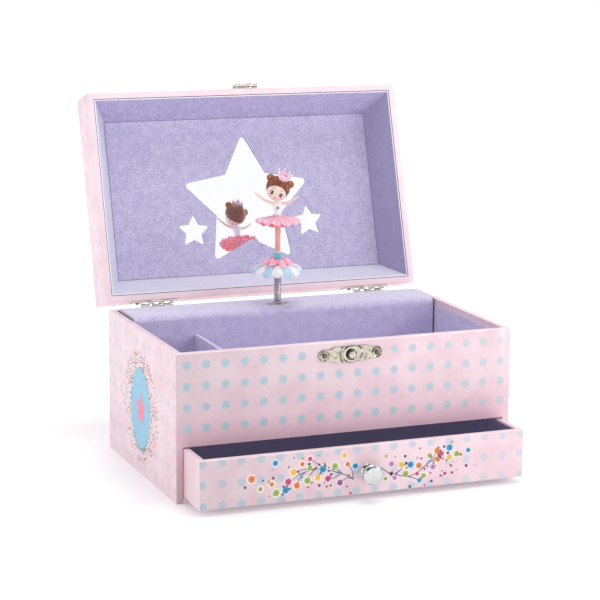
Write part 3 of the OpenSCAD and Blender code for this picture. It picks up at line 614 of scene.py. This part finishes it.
TWIGS = [
    [(-7.6, 12.2), (-10.5, 14.2), (-15, 16.2), (-20, 18), (-24, 19), (-30, 20), (-39, 18), (-43, 15)],
    [(-7.8, 12.6), (-11.5, 13.2), (-15.5, 11)], [(-14, 16), (-16.5, 18), (-18.5, 20.5)],
    [(-24, 19), (-29, 23), (-33, 26)], [(-30, 20), (-36, 20.5), (-42.5, 19.5)],
    [(-15, 16), (-19, 14), (-22.5, 14)], [(-7.6, 12.4), (-8.4, 17), (-11, 21)],
    [(-30, 20), (-33, 17), (-34.5, 14)], [(-36, 19), (-39, 15.5), (-40.5, 12)],
    [(9, 17), (13, 14), (17, 12.5), (25, 10.5), (32, 13), (38, 18), (44, 24)],
    [(13, 14), (15, 12), (17, 10.5)], [(32, 13), (36, 16), (42, 20)], [(17, 12.5), (21, 15), (21, 17.5)],
    [(25, 10.5), (29, 9), (32, 7.5)],
]
# Each berry's darker middle, and the glow printed round it
RINGS = {"blue": ("deep_blue", "sky_glow"), "magenta": ("plum", "pink_glow"),
         "purple": ("violet", "pink_glow"), "lilac": ("purple", "pink_glow"),
         "orange": ("rust", "peach_glow"), "yellow": ("ochre", "peach_glow"),
         "green": ("leaf", "leaf_glow"), "olive": ("leaf", "leaf_glow")}
SPECK_INKS = "plum navy violet navy olive peach rust lilac".split()


def drawer_print():
    """Two sprigs of coloured berries on the drawer's front"""
    front = DRAWER_LOW.y

    def place(u, v, height):
        return Vector((u * MM, front - height, v * MM))

    bm = bmesh.new()
    for points in TWIGS:
        stroke(bm, points, 0.5, place, "twig")
    for name, u, v, radius in BERRIES:
        core, glow = RINGS[name]
        disc(bm, u, v, radius + 0.8, place, 0, glow)
        disc(bm, u, v, radius, place, 2, name)
        disc(bm, u, v, radius * 0.42, place, 3, core, 12)
    chance = random.Random(11)
    for sprig in (-36, 44):
        for _ in range(54):
            u = sprig + chance.gauss(0, 15)
            v = min(27.5, max(4.5, chance.gauss(15.5, 6)))
            if abs(u - 1) > 8.5 and abs(u) < 78:
                disc(bm, u, v, chance.uniform(0.4, 0.9), place, 1, chance.choice(SPECK_INKS), 10)
    new_piece("drawer_print", bm, [ink(name) for name in INK_NAMES], "drawer")


OVAL_CENTRE = (0.8, 37.9)  # along the wall and above the base, in mm like the sizes below
OVAL = (18.5, 24.1)
HALO_INNER = (17.6, 23.2)
HALO_OUTER = (33, 32.5)


def medallion(name, side):
    """An oval of sky blue with a star, in a halo of confetti, on a side wall"""
    wall_x = BOX_LOW.x if side < 0 else BOX_HIGH.x
    def place(u, v, height):
        return Vector((wall_x + side * height, (OVAL_CENTRE[0] + u) * MM, (OVAL_CENTRE[1] + v) * MM))

    bm = bmesh.new()
    oval = []
    for a in around(96):
        frill = 1 + 0.012 * math.sin(24 * a)
        oval.append((OVAL[0] * math.cos(a) * frill, OVAL[1] * math.sin(a) * frill))
    stamp(bm, oval, place, 1, "sky")
    star = []
    for i, a in enumerate(around(10, 2.5)):
        x, y = polar(5.3 if i % 2 else 9.4, a)
        star.append((x - 0.4, y - 0.1))
    stamp(bm, star, place, 3, "pink")
    chance = random.Random(5)
    near = "navy navy deep_blue cream cream leaf cream".split()
    far = "orange red rust cream olive navy peach cream plum".split()
    for _ in range(760):
        angle = chance.uniform(0, 2 * math.pi)
        out = chance.random() ** 1.4 * 1.07 - 0.07
        wide, tall = [inner + (outer - inner) * out for inner, outer in zip(HALO_INNER, HALO_OUTER)]
        u = wide * math.cos(angle)
        v = tall * math.sin(angle) + 0.8 * out
        disc(bm, u, v, chance.uniform(0.28, 0.58), place, 2, chance.choice(near if out < 0.24 else far), 8)
    new_piece(name, bm, [ink(n) for n in INK_NAMES], "box")


# ---- Fittings ----

def knob(material):
    """A turned knob with a flared foot, a narrow neck and a thick head"""
    low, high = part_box("drawer_knob")
    centre = Vector(((low.x + high.x) / 2, high.y, (low.z + high.z) / 2))
    head = (high.x - low.x) / 2 / MM
    depth = (high.y - low.y) / MM
    profile = [(0, 0), (4.4, 0), (4.5, 0.25), (4.3, 0.6), (3.4, 1.1), (2.85, 1.9), (2.8, 2.8), (3.3, 3.5)]
    rim = [(0.74, 4.9), (0.9, 4.2), (0.975, 3.4), (1, 2.6), (1, 1.7), (0.985, 1.35), (0.955, 1.1),
           (0.83, 0.3), (0.8, 0.16), (0.76, 0.07), (0.3, 0.02), (0, 0)]
    profile += [(head * share, depth - inward) for share, inward in rim]
    bm = bmesh.new()
    axis = Matrix.Translation(centre) @ spin(math.pi / 2, "X")
    lathe(bm, axis, [(r * MM, h * MM) for r, h in profile], 64)
    new_piece("turned_knob", bm, [material], "drawer", ["drawer_knob"])


def coil_spring(material):
    """The dancer's spring, wound from round wire"""
    outer = (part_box("spring")[1].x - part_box("spring")[0].x) / 2
    wire = 0.36 * MM
    radius = outer - wire
    low = DECK_Z + 0.3 * MM
    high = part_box("spring")[1].z - wire
    turns = 17
    steps = 20
    points = []
    for i in range(turns * steps + 1):
        angle = 2 * math.pi * i / steps
        x, y = polar(radius, angle)
        points.append(Vector((SPINDLE.x + x, SPINDLE.y + y, low + (high - low) * i / (turns * steps))))
    bm = bmesh.new()
    tube(bm, points, [wire] * len(points), 8)
    spring = new_piece("coil_spring", bm, [material], None, ["spring"])
    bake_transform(spring)


BIG_BEVELS = {"latch_plate": 0.45, "latch_stud": 0.3, "spindle_flange": 0.3}


def edge_roundings():
    """Soft edges on the metal fittings and the linings"""
    widths = {"nickel": 0.22, "brass": 0.2, "lilac_flock": 0.35, "steel": 0.1, "dark_steel": 0.15,
              "white_nylon": 0.15, "mirror": 0.1, "plain_board": 0.3}
    for name, slot in SLOTS.items():
        node = NODES[name]
        width = widths.get(slot)
        if width and not node.hide_render and name != "lid_ceiling_lining":
            node.modifiers.new("merge", "WELD").merge_threshold = 0.002 * MM
            bevel = node.modifiers.new("soft_edges", "BEVEL")
            bevel.width = BIG_BEVELS.get(name, width) * MM
            bevel.segments = 2
            bevel.limit_method = "ANGLE"
            bevel.angle_limit = math.radians(50)
            bevel.harden_normals = True


# ---- Dancer ----

FIGURE = Matrix.Translation(SPINDLE) @ spin(CAMERA_TURN) @ Matrix.Diagonal((MM, MM, MM, 1))


def petals(white, blue):
    """Fourteen drooping petals round the dancer's foot, white and blue by turns"""
    bm = bmesh.new()
    for i, angle in enumerate(around(14, 0.5)):
        blue_one = i % 2
        turn = FIGURE @ spin(angle)
        rings = []
        for step in range(11):
            t = step / 10
            reach = 4.5 + (10.2 - 0.4 * blue_one) * math.sin(t * math.pi / 2) ** 0.9
            height = 24.0 - 0.4 * blue_one - 5.6 * t ** 2.4
            width = 1.3 + 2.1 * min(t, 0.6) / 0.6
            if t > 0.6:
                width *= math.sqrt(max(0.02, 1 - ((t - 0.6) / 0.41) ** 2))
            thick = 0.55 if t < 0.9 else 0.35
            ring = []
            for a in around(14):
                side = width * math.cos(a)
                cup = -1.3 * (side / 3.4) ** 2 + 0.14 * math.cos(4.2 * side)
                ring.append(turn @ Vector((reach, side, height + cup + thick * math.sin(a))))
            rings.append(ring)
        skin(bm, rings, blue_one)
    lathe(bm, FIGURE, [(0, 17.3), (3, 17.3), (3.4, 18.4), (5.5, 20.6), (8.4, 21.6), (8.6, 22.4), (4, 24.4),
                       (2.4, 25.5), (2.2, 28), (0, 28)], 32, 0)
    new_piece("petals", bm, [white, blue], "dancer_figure", ["flower_base"])


def flowers(pink, deep, white):
    """Small five-petalled flowers in a ring over the petals"""
    bm = bmesh.new()
    count = 8
    for i, turn in enumerate(around(count, 0.5)):
        lean = FIGURE @ spin(turn) @ shift(7.1, 0, 24.9 + 0.4 * (i % 3))
        lean = lean @ spin(math.radians(38), "Y") @ spin(0.7 * i)
        for k in range(5):
            petal = lean @ spin(2 * math.pi * k / 5) @ shift(1.6, 0, 0.2)
            ball(bm, petal @ spin(-0.55, "Y"), (1.5, 1.3, 0.55), 0 if (i + k) % 3 else 1, 8, 14)
            inner = lean @ spin(2 * math.pi * (k + 0.5) / 5) @ shift(0.8, 0, 0.75)
            ball(bm, inner @ spin(-0.9, "Y"), (0.85, 0.8, 0.35), 2 if (i + k) % 5 == 0 else 0, 6, 10)
        ball(bm, lean @ shift(0, 0, 0.8), (0.6, 0.6, 0.5), 1, 8, 12)
        filler = FIGURE @ spin(turn + math.pi / count) @ shift(4.1, 0, 26)
        for k in range(4):
            bud = filler @ spin(math.pi * k / 2) @ shift(0.8, 0, 0)
            ball(bm, bud, (1.25, 1.1, 0.9), (2, 0, 1, 0)[(i + k) % 4], 6, 12)
    new_piece("flowers", bm, [pink, deep, white], "dancer_figure")


def legs(skin_paint, band, white):
    """The slim legs, the blue ankle band and its white frill"""
    bm = bmesh.new()
    thigh = [(0, 30), (1.35, 30), (1.5, 33), (1.45, 38), (1.6, 43), (1.85, 47), (2.1, 50.5), (0, 50.5)]
    ankle = [(0, 26.9), (2.3, 26.9), (2.65, 27.6), (2.75, 29), (2.6, 30.5), (2.2, 31.2), (0, 31.2)]
    lathe(bm, FIGURE, thigh, 24)
    for side in (-1, 1):
        line = [(side * 0.62, -0.55, z) for z in (30.5, 35, 40, 45, 49.5)]
        limb(bm, FIGURE, line, (0.8, 1.0, 0.95, 1.1, 1.25), 14)
    lathe(bm, FIGURE, ankle, 32, 1)
    for a in around(10):
        ball(bm, FIGURE @ shift(*polar(1.85, a), 31.4), (0.6, 0.6, 0.5), 2, 6, 10)
    new_piece("legs", bm, [skin_paint, band, white], "dancer_figure")


def ruffle(bm, top, rim, reach, waves, size, phase, material):
    """One layer of the skirt, pleated into waves towards its rim"""
    steps = 9
    upper = []
    lower = []
    for step in range(steps + 1):
        t = step / steps
        radius = 1.9 + (reach - 1.9) * t
        line = []
        under = []
        for a in around(168):
            wave = math.sin(waves * a + phase) + 0.35 * math.sin((2 * waves + 1) * a + phase * 2)
            drop = 0.35 * math.sin(2 * a + phase)
            height = top + (rim - top) * t ** 0.85 + (size * wave + drop) * t ** 1.6
            swell = radius * (1 + 0.028 * math.sin(waves * a + phase + 1.1) * t)
            thick = 0.5 + 0.25 * t - 0.45 * max(0.0, t - 0.9) / 0.1
            for points, level in ((line, height + thick), (under, height - thick)):
                points.append(FIGURE @ Vector((*polar(swell, a), level)))
        upper.append(line)
        lower.append(under)
    skin(bm, [*upper, *reversed(lower)], material)


def tutu(pink, coral):
    """The pleated skirt, pale above and coral beneath"""
    bm = bmesh.new()
    ruffle(bm, 53.0, 49.6, 13.2, 13, 0.55, 0.4, 0)
    ruffle(bm, 52.0, 48.8, 12.0, 12, 0.5, 2.1, 1)
    lathe(bm, FIGURE, [(0, 49.5), (2.6, 49.5), (3.4, 51), (3.3, 52.6), (2.9, 53.6), (0, 53.6)], 32)
    new_piece("pleated_tutu", bm, [pink, coral], "dancer_figure", ["tutu"], 60)


def body(white, skin_paint, gem):
    """Bodice, gem, neck and the two raised arms"""
    bm = bmesh.new()
    rings = []
    for height, wide, deep in ((52.6, 2.1, 1.9), (54.2, 2.0, 1.75), (56, 2.35, 1.95), (57.8, 2.95, 2.25),
                               (59.2, 3.1, 2.2), (60.2, 2.7, 1.8), (60.7, 1.8, 1.3)):
        rings.append([FIGURE @ Vector((wide * math.cos(a), deep * math.sin(a), height)) for a in around(28)])
    skin(bm, rings)
    for side in (-1, 1):
        ball(bm, FIGURE @ shift(side * 2.35, -0.1, 60.1), (1.15, 1.1, 0.9), 0, 8, 14)
    ball(bm, FIGURE @ shift(-0.1, -2.25, 57.9), (0.95, 0.5, 1.0), 2, 6, 8)
    for x, z in (polar(1.15, a) for a in around(6)):
        ball(bm, FIGURE @ shift(x - 0.1, -2.2, z + 57.9), (0.35, 0.3, 0.35), 0, 6, 8)
    limb(bm, FIGURE, [(0, 0, 59.6), (-0.2, -0.1, 61), (-0.6, -0.3, 63)], (1.9, 1.25, 1.3), 20, 1)
    left = (-2.5, -0.2, 60.2), (-4.6, -0.8, 60.9), (-7.2, -1.2, 62), (-10.2, -1.3, 64), (-12.9, -1.3, 66.2)
    right = (2.5, -0.2, 60.1), (4.6, -0.7, 60.5), (7, -1, 61.4), (9.2, -1.1, 62.7), (11.2, -1.1, 64.2)
    for arm in (left, right):
        line = smooth_line([Vector(point) for point in arm], 5)
        limb(bm, FIGURE, line, [1.05 - 0.5 * i / (len(line) - 1) for i in range(len(line))], 14, 1)
        hand = line[-1]
        ahead = (line[-1] - line[-2]).normalized()
        for spread in (-0.25, 0, 0.25):
            limb(bm, FIGURE, [hand, hand + ahead * 0.9 + Vector((0, 0, spread * 1.1))], (0.28, 0.2), 8, 1)
    new_piece("bodice_and_arms", bm, [white, skin_paint, gem], "dancer_figure", ["dancer"])


HEAD = FIGURE @ shift(-0.2, 0, 69) @ spin(math.radians(19), "Y")
FACE_CENTRE = Vector((0, -1.3, -1.5))
FACE_RADII = Vector((5.9, 5.8, 5.6))


def on_face(x, z, lift=0.0):
    """A place on the front of the face, with its directions square to the skin"""
    share = 1 - ((x - FACE_CENTRE.x) / FACE_RADII.x) ** 2 - ((z - FACE_CENTRE.z) / FACE_RADII.z) ** 2
    y = FACE_CENTRE.y - FACE_RADII.y * math.sqrt(share)
    point = Vector((x, y, z))
    out = Vector([(point[i] - FACE_CENTRE[i]) / FACE_RADII[i] ** 2 for i in range(3)]).normalized()
    right = Vector((1, 0, 0))
    right = (right - out * right.dot(out)).normalized()
    turn = Matrix((right, -out, right.cross(-out))).transposed().to_4x4()
    return HEAD @ Matrix.Translation(point + out * lift) @ turn


def face(skin_paint, dark, white, lips, brow):
    """The head's skin, ears, eyes, brows, nose and mouth"""
    bm = bmesh.new()

    def mark(line, lift, radii, material):
        tube(bm, [on_face(x, z, lift).translation for x, z in line], [r * MM for r in radii], 8, material)

    ball(bm, HEAD @ Matrix.Translation(FACE_CENTRE), FACE_RADII, 0, 24, 36)
    ball(bm, on_face(0, -3.9, 0.05), (0.38, 0.35, 0.32), 0, 8, 10)
    for side in (-1, 1):
        ball(bm, on_face(side * 2.75, -2.3, -0.05), (0.98, 0.22, 1.2), 2, 10, 16)
        ball(bm, on_face(side * 2.68, -2.35, 0.06), (0.9, 0.26, 1.14), 1, 10, 16)
        ball(bm, on_face(side * 2.7 - 0.28, -1.95, 0.27), (0.26, 0.12, 0.3), 2, 6, 10)
        lash = [(1.75, -1.55), (2.3, -1.2), (3.0, -1.2), (3.75, -1.75), (4.1, -1.7)]
        mark([(side * x, z) for x, z in lash], 0.08, [0.2] * 5, 1)
        mark([(side * x, z) for x, z in ((1.7, 0.15), (2.6, 0.5), (3.6, 0.1))], 0.02, [0.13] * 3, 4)
        ball(bm, HEAD @ shift(side * 5.7, 0.2, -2.6), (0.7, 0.9, 1.1), 0, 8, 12)
    smile = [(-0.75, -4.95), (-0.35, -5.2), (0, -5.25), (0.35, -5.2), (0.75, -4.95)]
    mark(smile, 0.02, (0.1, 0.22, 0.28, 0.22, 0.1), 3)
    new_piece("face", bm, [skin_paint, dark, white, lips, brow], "dancer_figure")


def hair(brown, copper, band):
    """Hair parted at one side and swept into two buns"""

    def sweep(d):
        opening = ((d.x * 7 + 0.2) / 5.75) ** 2 + ((d.z * 7 + 3.9) / 5.7) ** 2
        front = max(0.0, min(1.0, (-d.y - 0.05) / 0.2))
        inside = max(0.0, min(1.0, (1.06 - opening) / 0.14)) * front
        strands = 0.012 * math.sin(26 * math.atan2(d.z - 0.5, d.x + 0.35) + 3 * d.y)
        part = -0.03 * math.exp(-((d.x + 0.32) / 0.05) ** 2) * (1 if d.z > 0 else 0)
        return (1 + strands + part) * (1 - 0.24 * inside)

    def twist(d):
        return 1 + 0.05 * math.sin(5 * math.atan2(d.y, d.x) + 6 * d.z)

    bm = bmesh.new()
    ball(bm, HEAD @ shift(0, 0.7, 0.75), (7.15, 6.95, 6.9), 0, 48, 96, sweep)
    for side in (-1, 1):
        bun = HEAD @ shift(side * 6.1, 1.0, 4.7) @ spin(side * 0.7, "Y")
        ball(bm, bun, (2.3, 2.3, 2.2), 1, 18, 30, twist)
        ring = [(*polar(1.55, a), -1.5) for a in [*around(16), 2 * math.pi]]
        limb(bm, bun, ring, [0.28] * len(ring), 8, 2)
    for i in range(9):
        x = -3.2 + 0.95 * i
        bend = 0.05 * x * x
        lock = [(x * 0.5 - 1.2, -2.6, 6.9), (x * 0.8 - 0.6, -4.9, 5.2), (x, bend - 5.9, 3.0 - bend)]
        line = smooth_line([Vector(point) for point in lock], 5)
        radii = [0.5 - 0.25 * abs(k / (len(line) - 1) - 0.4) for k in range(len(line))]
        limb(bm, HEAD, line, radii, 10, i % 2)
    new_piece("hair", bm, [brown, copper, band], "dancer_figure", sharp_angle=60)


def crown(pink, white):
    """A small open crown with seven points and a pearl on each"""
    place = HEAD @ shift(0.9, -2.0, 6.6) @ spin(math.radians(22), "X") @ Matrix.Scale(1.1, 4)
    bm = bmesh.new()
    count = 84
    points = 7
    profile = []
    for radius, level in ((2.75, 0), (2.95, 0.8), (3.6, 1.0), (3.3, 1.0), (2.6, 0.8), (2.4, 0)):
        ring = []
        for i, a in enumerate(around(count)):
            share = i * points / count % 1
            height = 1.9 + 1.9 * abs(2 * share - 1) ** 1.2
            reach = radius if level < 1 else radius + 0.1 * height
            ring.append(place @ Vector((*polar(reach, a), height * level)))
        profile.append(ring)
    profile.append(profile[0])
    skin(bm, profile, 0, False)
    bmesh.ops.remove_doubles(bm, verts=bm.verts, dist=0.001 * MM)
    lathe(bm, place, [(0, 0.3), (2.6, 0.3), (2.6, 0.9), (0, 1.3)], 28)
    for a, b in zip(around(points), around(points, 0.5)):
        ball(bm, place @ shift(*polar(3.8, a), 4), (0.5, 0.5, 0.5), 1, 8, 12)
        ball(bm, place @ shift(*polar(3, b), 0.9), (0.35, 0.35, 0.4), 1, 6, 10)
    new_piece("crown", bm, [pink, white], "dancer_figure")


def skin_material():
    """Painted skin with a blush on both cheeks"""
    paint = Paint("painted_skin", roughness=0.38, Subsurface_Weight=0.08, Subsurface_Scale=0.6 * MM)
    tone = paint.fade(paint.noise(1.6), 0.35, 0.7, (254, 229, 219), (250, 219, 208))
    for side in (-1, 1):
        cheek = on_face(side * 3.6, -4.0).translation
        blush = paint.step(paint.distance(cheek), 1.9 * MM, 0.3 * MM, 0.0, 0.6)
        tone = paint.mix(blush, tone, (240, 140, 140))
    return paint.finish(tone, bump=(paint.noise(0.5), 0.02, 0.3))


def pleat_material(name, ridge, groove, waves, glow):
    """Pink paint, with a painted highlight on the pleats' crests and painted shade between them, and a faint glow
    of painted light in place of light through the thin skirt
    """
    # Painted light: the paint glows faintly in its groove colour
    paint = Paint(name, roughness=0.36, Subsurface_Weight=0.05, Subsurface_Scale=0.6 * MM,
                  Emission_Color=groove, Emission_Strength=glow)
    x, y, _ = paint.split(paint.place)
    angle = paint.sum("ARCTAN2", paint.minus(y, SPINDLE.y), paint.minus(x, SPINDLE.x))
    ripple = paint.sum("SINE", paint.sum("MULTIPLY_ADD", angle, float(waves), paint.noise(3)))
    # Painted highlight on the crests, painted shade between them
    tone = paint.fade(ripple, -0.9, 0.9, groove, ridge)
    tone = paint.fade(paint.noise(0.9), 0.5, 0.8, tone, (255, 226, 234), 0.35)
    return paint.finish(tone, bump=(paint.plus(ripple, paint.noise(0.5)), 0.08, 0.6))


def hair_material(name, colour, light):
    """Brown paint streaked along the strands"""
    paint = Paint(name, roughness=0.34)
    streaks = paint.noise(0.7, 4.0, paint.stretched(1.0, 1.0, 0.3))
    tone = paint.fade(streaks, 0.4, 0.7, colour, light)
    return paint.finish(tone, (streaks, 0.28, 0.42), (streaks, 0.1, 0.6))


def dancer():
    """The dancer's paints and pieces"""
    white = plastic("figure_white_paint", (253, 251, 253), (243, 242, 249))
    blue = plastic("petal_blue_paint", (176, 216, 238), (216, 236, 247))
    band = plastic("band_blue_paint", (120, 186, 208), (146, 204, 222))
    # Painted light: the flower paints glow faintly
    pink = plastic("flower_pink_paint", (255, 196, 214), (255, 218, 230), Emission_Strength=0.12,
                   Emission_Color=(255, 190, 210))
    deep = plastic("flower_deep_paint", (252, 164, 192), (255, 190, 210), Emission_Strength=0.12,
                   Emission_Color=(250, 150, 180))
    leg = plastic("leg_paint", (242, 182, 168), (232, 162, 150))
    crown_pink = plastic("crown_paint", (252, 216, 232), (244, 194, 220), 0.25)
    dark = plastic("eye_paint", (66, 40, 38), (48, 28, 30), 0.12)
    lips = plastic("lip_paint", (206, 84, 90), (190, 70, 80), 0.25)
    gem = plastic("gem_paint", (150, 172, 190), (122, 150, 172), 0.08)
    brown = hair_material("hair_brown", (104, 52, 34), (176, 98, 58))
    copper = hair_material("hair_copper", (134, 70, 42), (214, 134, 78))
    skin_paint = skin_material()
    top = pleat_material("tutu_pink", (248, 204, 220), (240, 166, 190), 26, 0.04)
    under = pleat_material("tutu_coral", (244, 138, 148), (230, 102, 114), 24, 0.2)
    petals(white, blue)
    flowers(pink, deep, white)
    legs(leg, band, white)
    tutu(top, under)
    body(white, skin_paint, gem)
    face(skin_paint, dark, white, lips, brown)
    hair(brown, copper, crown_pink)
    crown(crown_pink, white)


# ---- Finishes on the CAD nodes ----

def finishes():
    """Gives every CAD node that still shows the material of its slot"""
    made = {
        "plain_board": matte_paper("plain_paper", (236, 222, 230), (226, 210, 220)),
        "lilac_flock": flock("lilac_flock", BOX_FLOCK),
        # Painted light: the drawer's lining glows, in place of the light inside the drawer
        "drawer_paper": matte_paper("plum_paper", (84, 77, 104), (72, 66, 94),
                                    Emission_Color=(76, 71, 94), Emission_Strength=0.65),
        "mirror": mirror_glass(),
        "nickel": metal("nickel_plate", (222, 217, 210), (170, 162, 150), (0.12, 0.28), patch=2.5),
        "steel": metal("bright_steel", (176, 178, 182), (140, 142, 148), (0.2, 0.36)),
        "dark_steel": metal("spring_steel", (206, 200, 198), (92, 84, 84), (0.14, 0.34), patch=1.6),
        "brass": metal("plain_brass", (214, 180, 110), (176, 140, 84), (0.22, 0.4)),
        "white_nylon": plastic("white_nylon", (236, 234, 228), (224, 221, 214), 0.45),
    }
    # The nails' plating has painted shade on its edges
    nails = metal("nail_plating", (128, 120, 112), (62, 56, 52), (0.1, 0.22), patch=1.2, edge=EDGE_SHADE)
    special = {
        "lid_slope_lining": flock("slope_flock", SLOPE_FLOCK),
        "lid_ceiling_lining": flock("ceiling_flock", CEILING_FLOCK),
        "latch_plate": stamped_metal("latch_plate", 15.6 * MM),
        "latch_stud": ringed_metal("latch_stud"), "box_nails": nails, "lid_nails": nails,
    }
    for name, slot in SLOTS.items():
        node = NODES[name]
        if not node.hide_render:
            node.data.materials.clear()
            node.data.materials.append(special.get(name, made[slot]))


# ---- Studio ----

CAMERA_TILT = math.radians(10.774)
CAMERA_ROLL = math.radians(0.4285)
CAMERA_PLACE = (-0.43555, -1.08201, 0.32697)


def camera():
    """A long lens, left of the front and a little above the box"""
    data = bpy.data.cameras.new("camera")
    data.sensor_width = 36
    data.lens = 123.73
    data.shift_y = -0.0312
    view = bpy.data.objects.new("camera", data)
    bpy.context.scene.collection.objects.link(view)
    turn = spin(CAMERA_TURN) @ spin(math.pi / 2 - CAMERA_TILT, "X") @ spin(CAMERA_ROLL)
    view.matrix_world = shift(*CAMERA_PLACE) @ turn
    bpy.context.scene.camera = view


def studio():
    """A white room with two soft lamps and a dark stretch above the camera, which the metal reflects"""
    scene = bpy.context.scene
    scene.view_settings.view_transform = "Standard"
    world = bpy.data.worlds.new("studio")
    scene.world = world
    world.use_nodes = True
    nodes = Nodes(world.node_tree)
    _, depth, height = nodes.split(nodes.add("ShaderNodeTexCoord").outputs["Generated"])
    dark = nodes.times(nodes.times(nodes.step(height, 0.5, 0.6), nodes.step(height, 0.97, 0.9)),
                       nodes.step(depth, -0.12, -0.3, 0.0, 0.88))
    seen = nodes.add("ShaderNodeLightPath").outputs["Is Camera Ray"]
    background = nodes.tree.nodes["Background"].inputs
    nodes.join(nodes.sum("MAXIMUM", nodes.minus(0.98, dark), seen), background["Strength"])
    background["Color"].default_value = linear(WHITE)

    for name, place, size, power in (("key", (1.6, -1.2, 1.1), 0.9, 9), ("top", (0.2, -0.1, 1.9), 0.8, 9)):
        data = bpy.data.lights.new(name, "AREA")
        data.size = size
        data.energy = power
        lamp = bpy.data.objects.new(name, data)
        scene.collection.objects.link(lamp)
        lamp.location = place
        lamp.rotation_mode = "QUATERNION"
        lamp.rotation_quaternion = (Vector((0, 0, 0.1)) - Vector(place)).to_track_quat("-Z", "Y")

    bm = bmesh.new()
    bm.faces.new([bm.verts.new((x, y, 0)) for x, y in ((-4, -4), (4, -4), (4, 4), (-4, 4))])
    paint = Paint("floor_white", roughness=0.6, Specular_IOR_Level=0.2, Emission_Color=WHITE)
    away = paint.distance(Vector((0, 0.1, 0)))
    paint.join(paint.step(away, 0.2, 0.9, 0.13, 0.6), paint.shader.inputs["Emission Strength"])
    paint.finish(paint.mix(paint.noise(400), (252, 252, 253), (250, 250, 251)))
    floor = new_piece("floor", bm, [paint.material], None)


camera()
boards()
drawer_print()
medallion("left_medallion", -1)
medallion("right_medallion", 1)
knob(metal("knob_plate", (212, 215, 215), (184, 187, 188), (0.06, 0.2), 0.6, 2.5))
coil_spring(metal("spring_wire", (216, 210, 212), (158, 150, 154), (0.12, 0.26)))
dancer()
finishes()
edge_roundings()
studio()
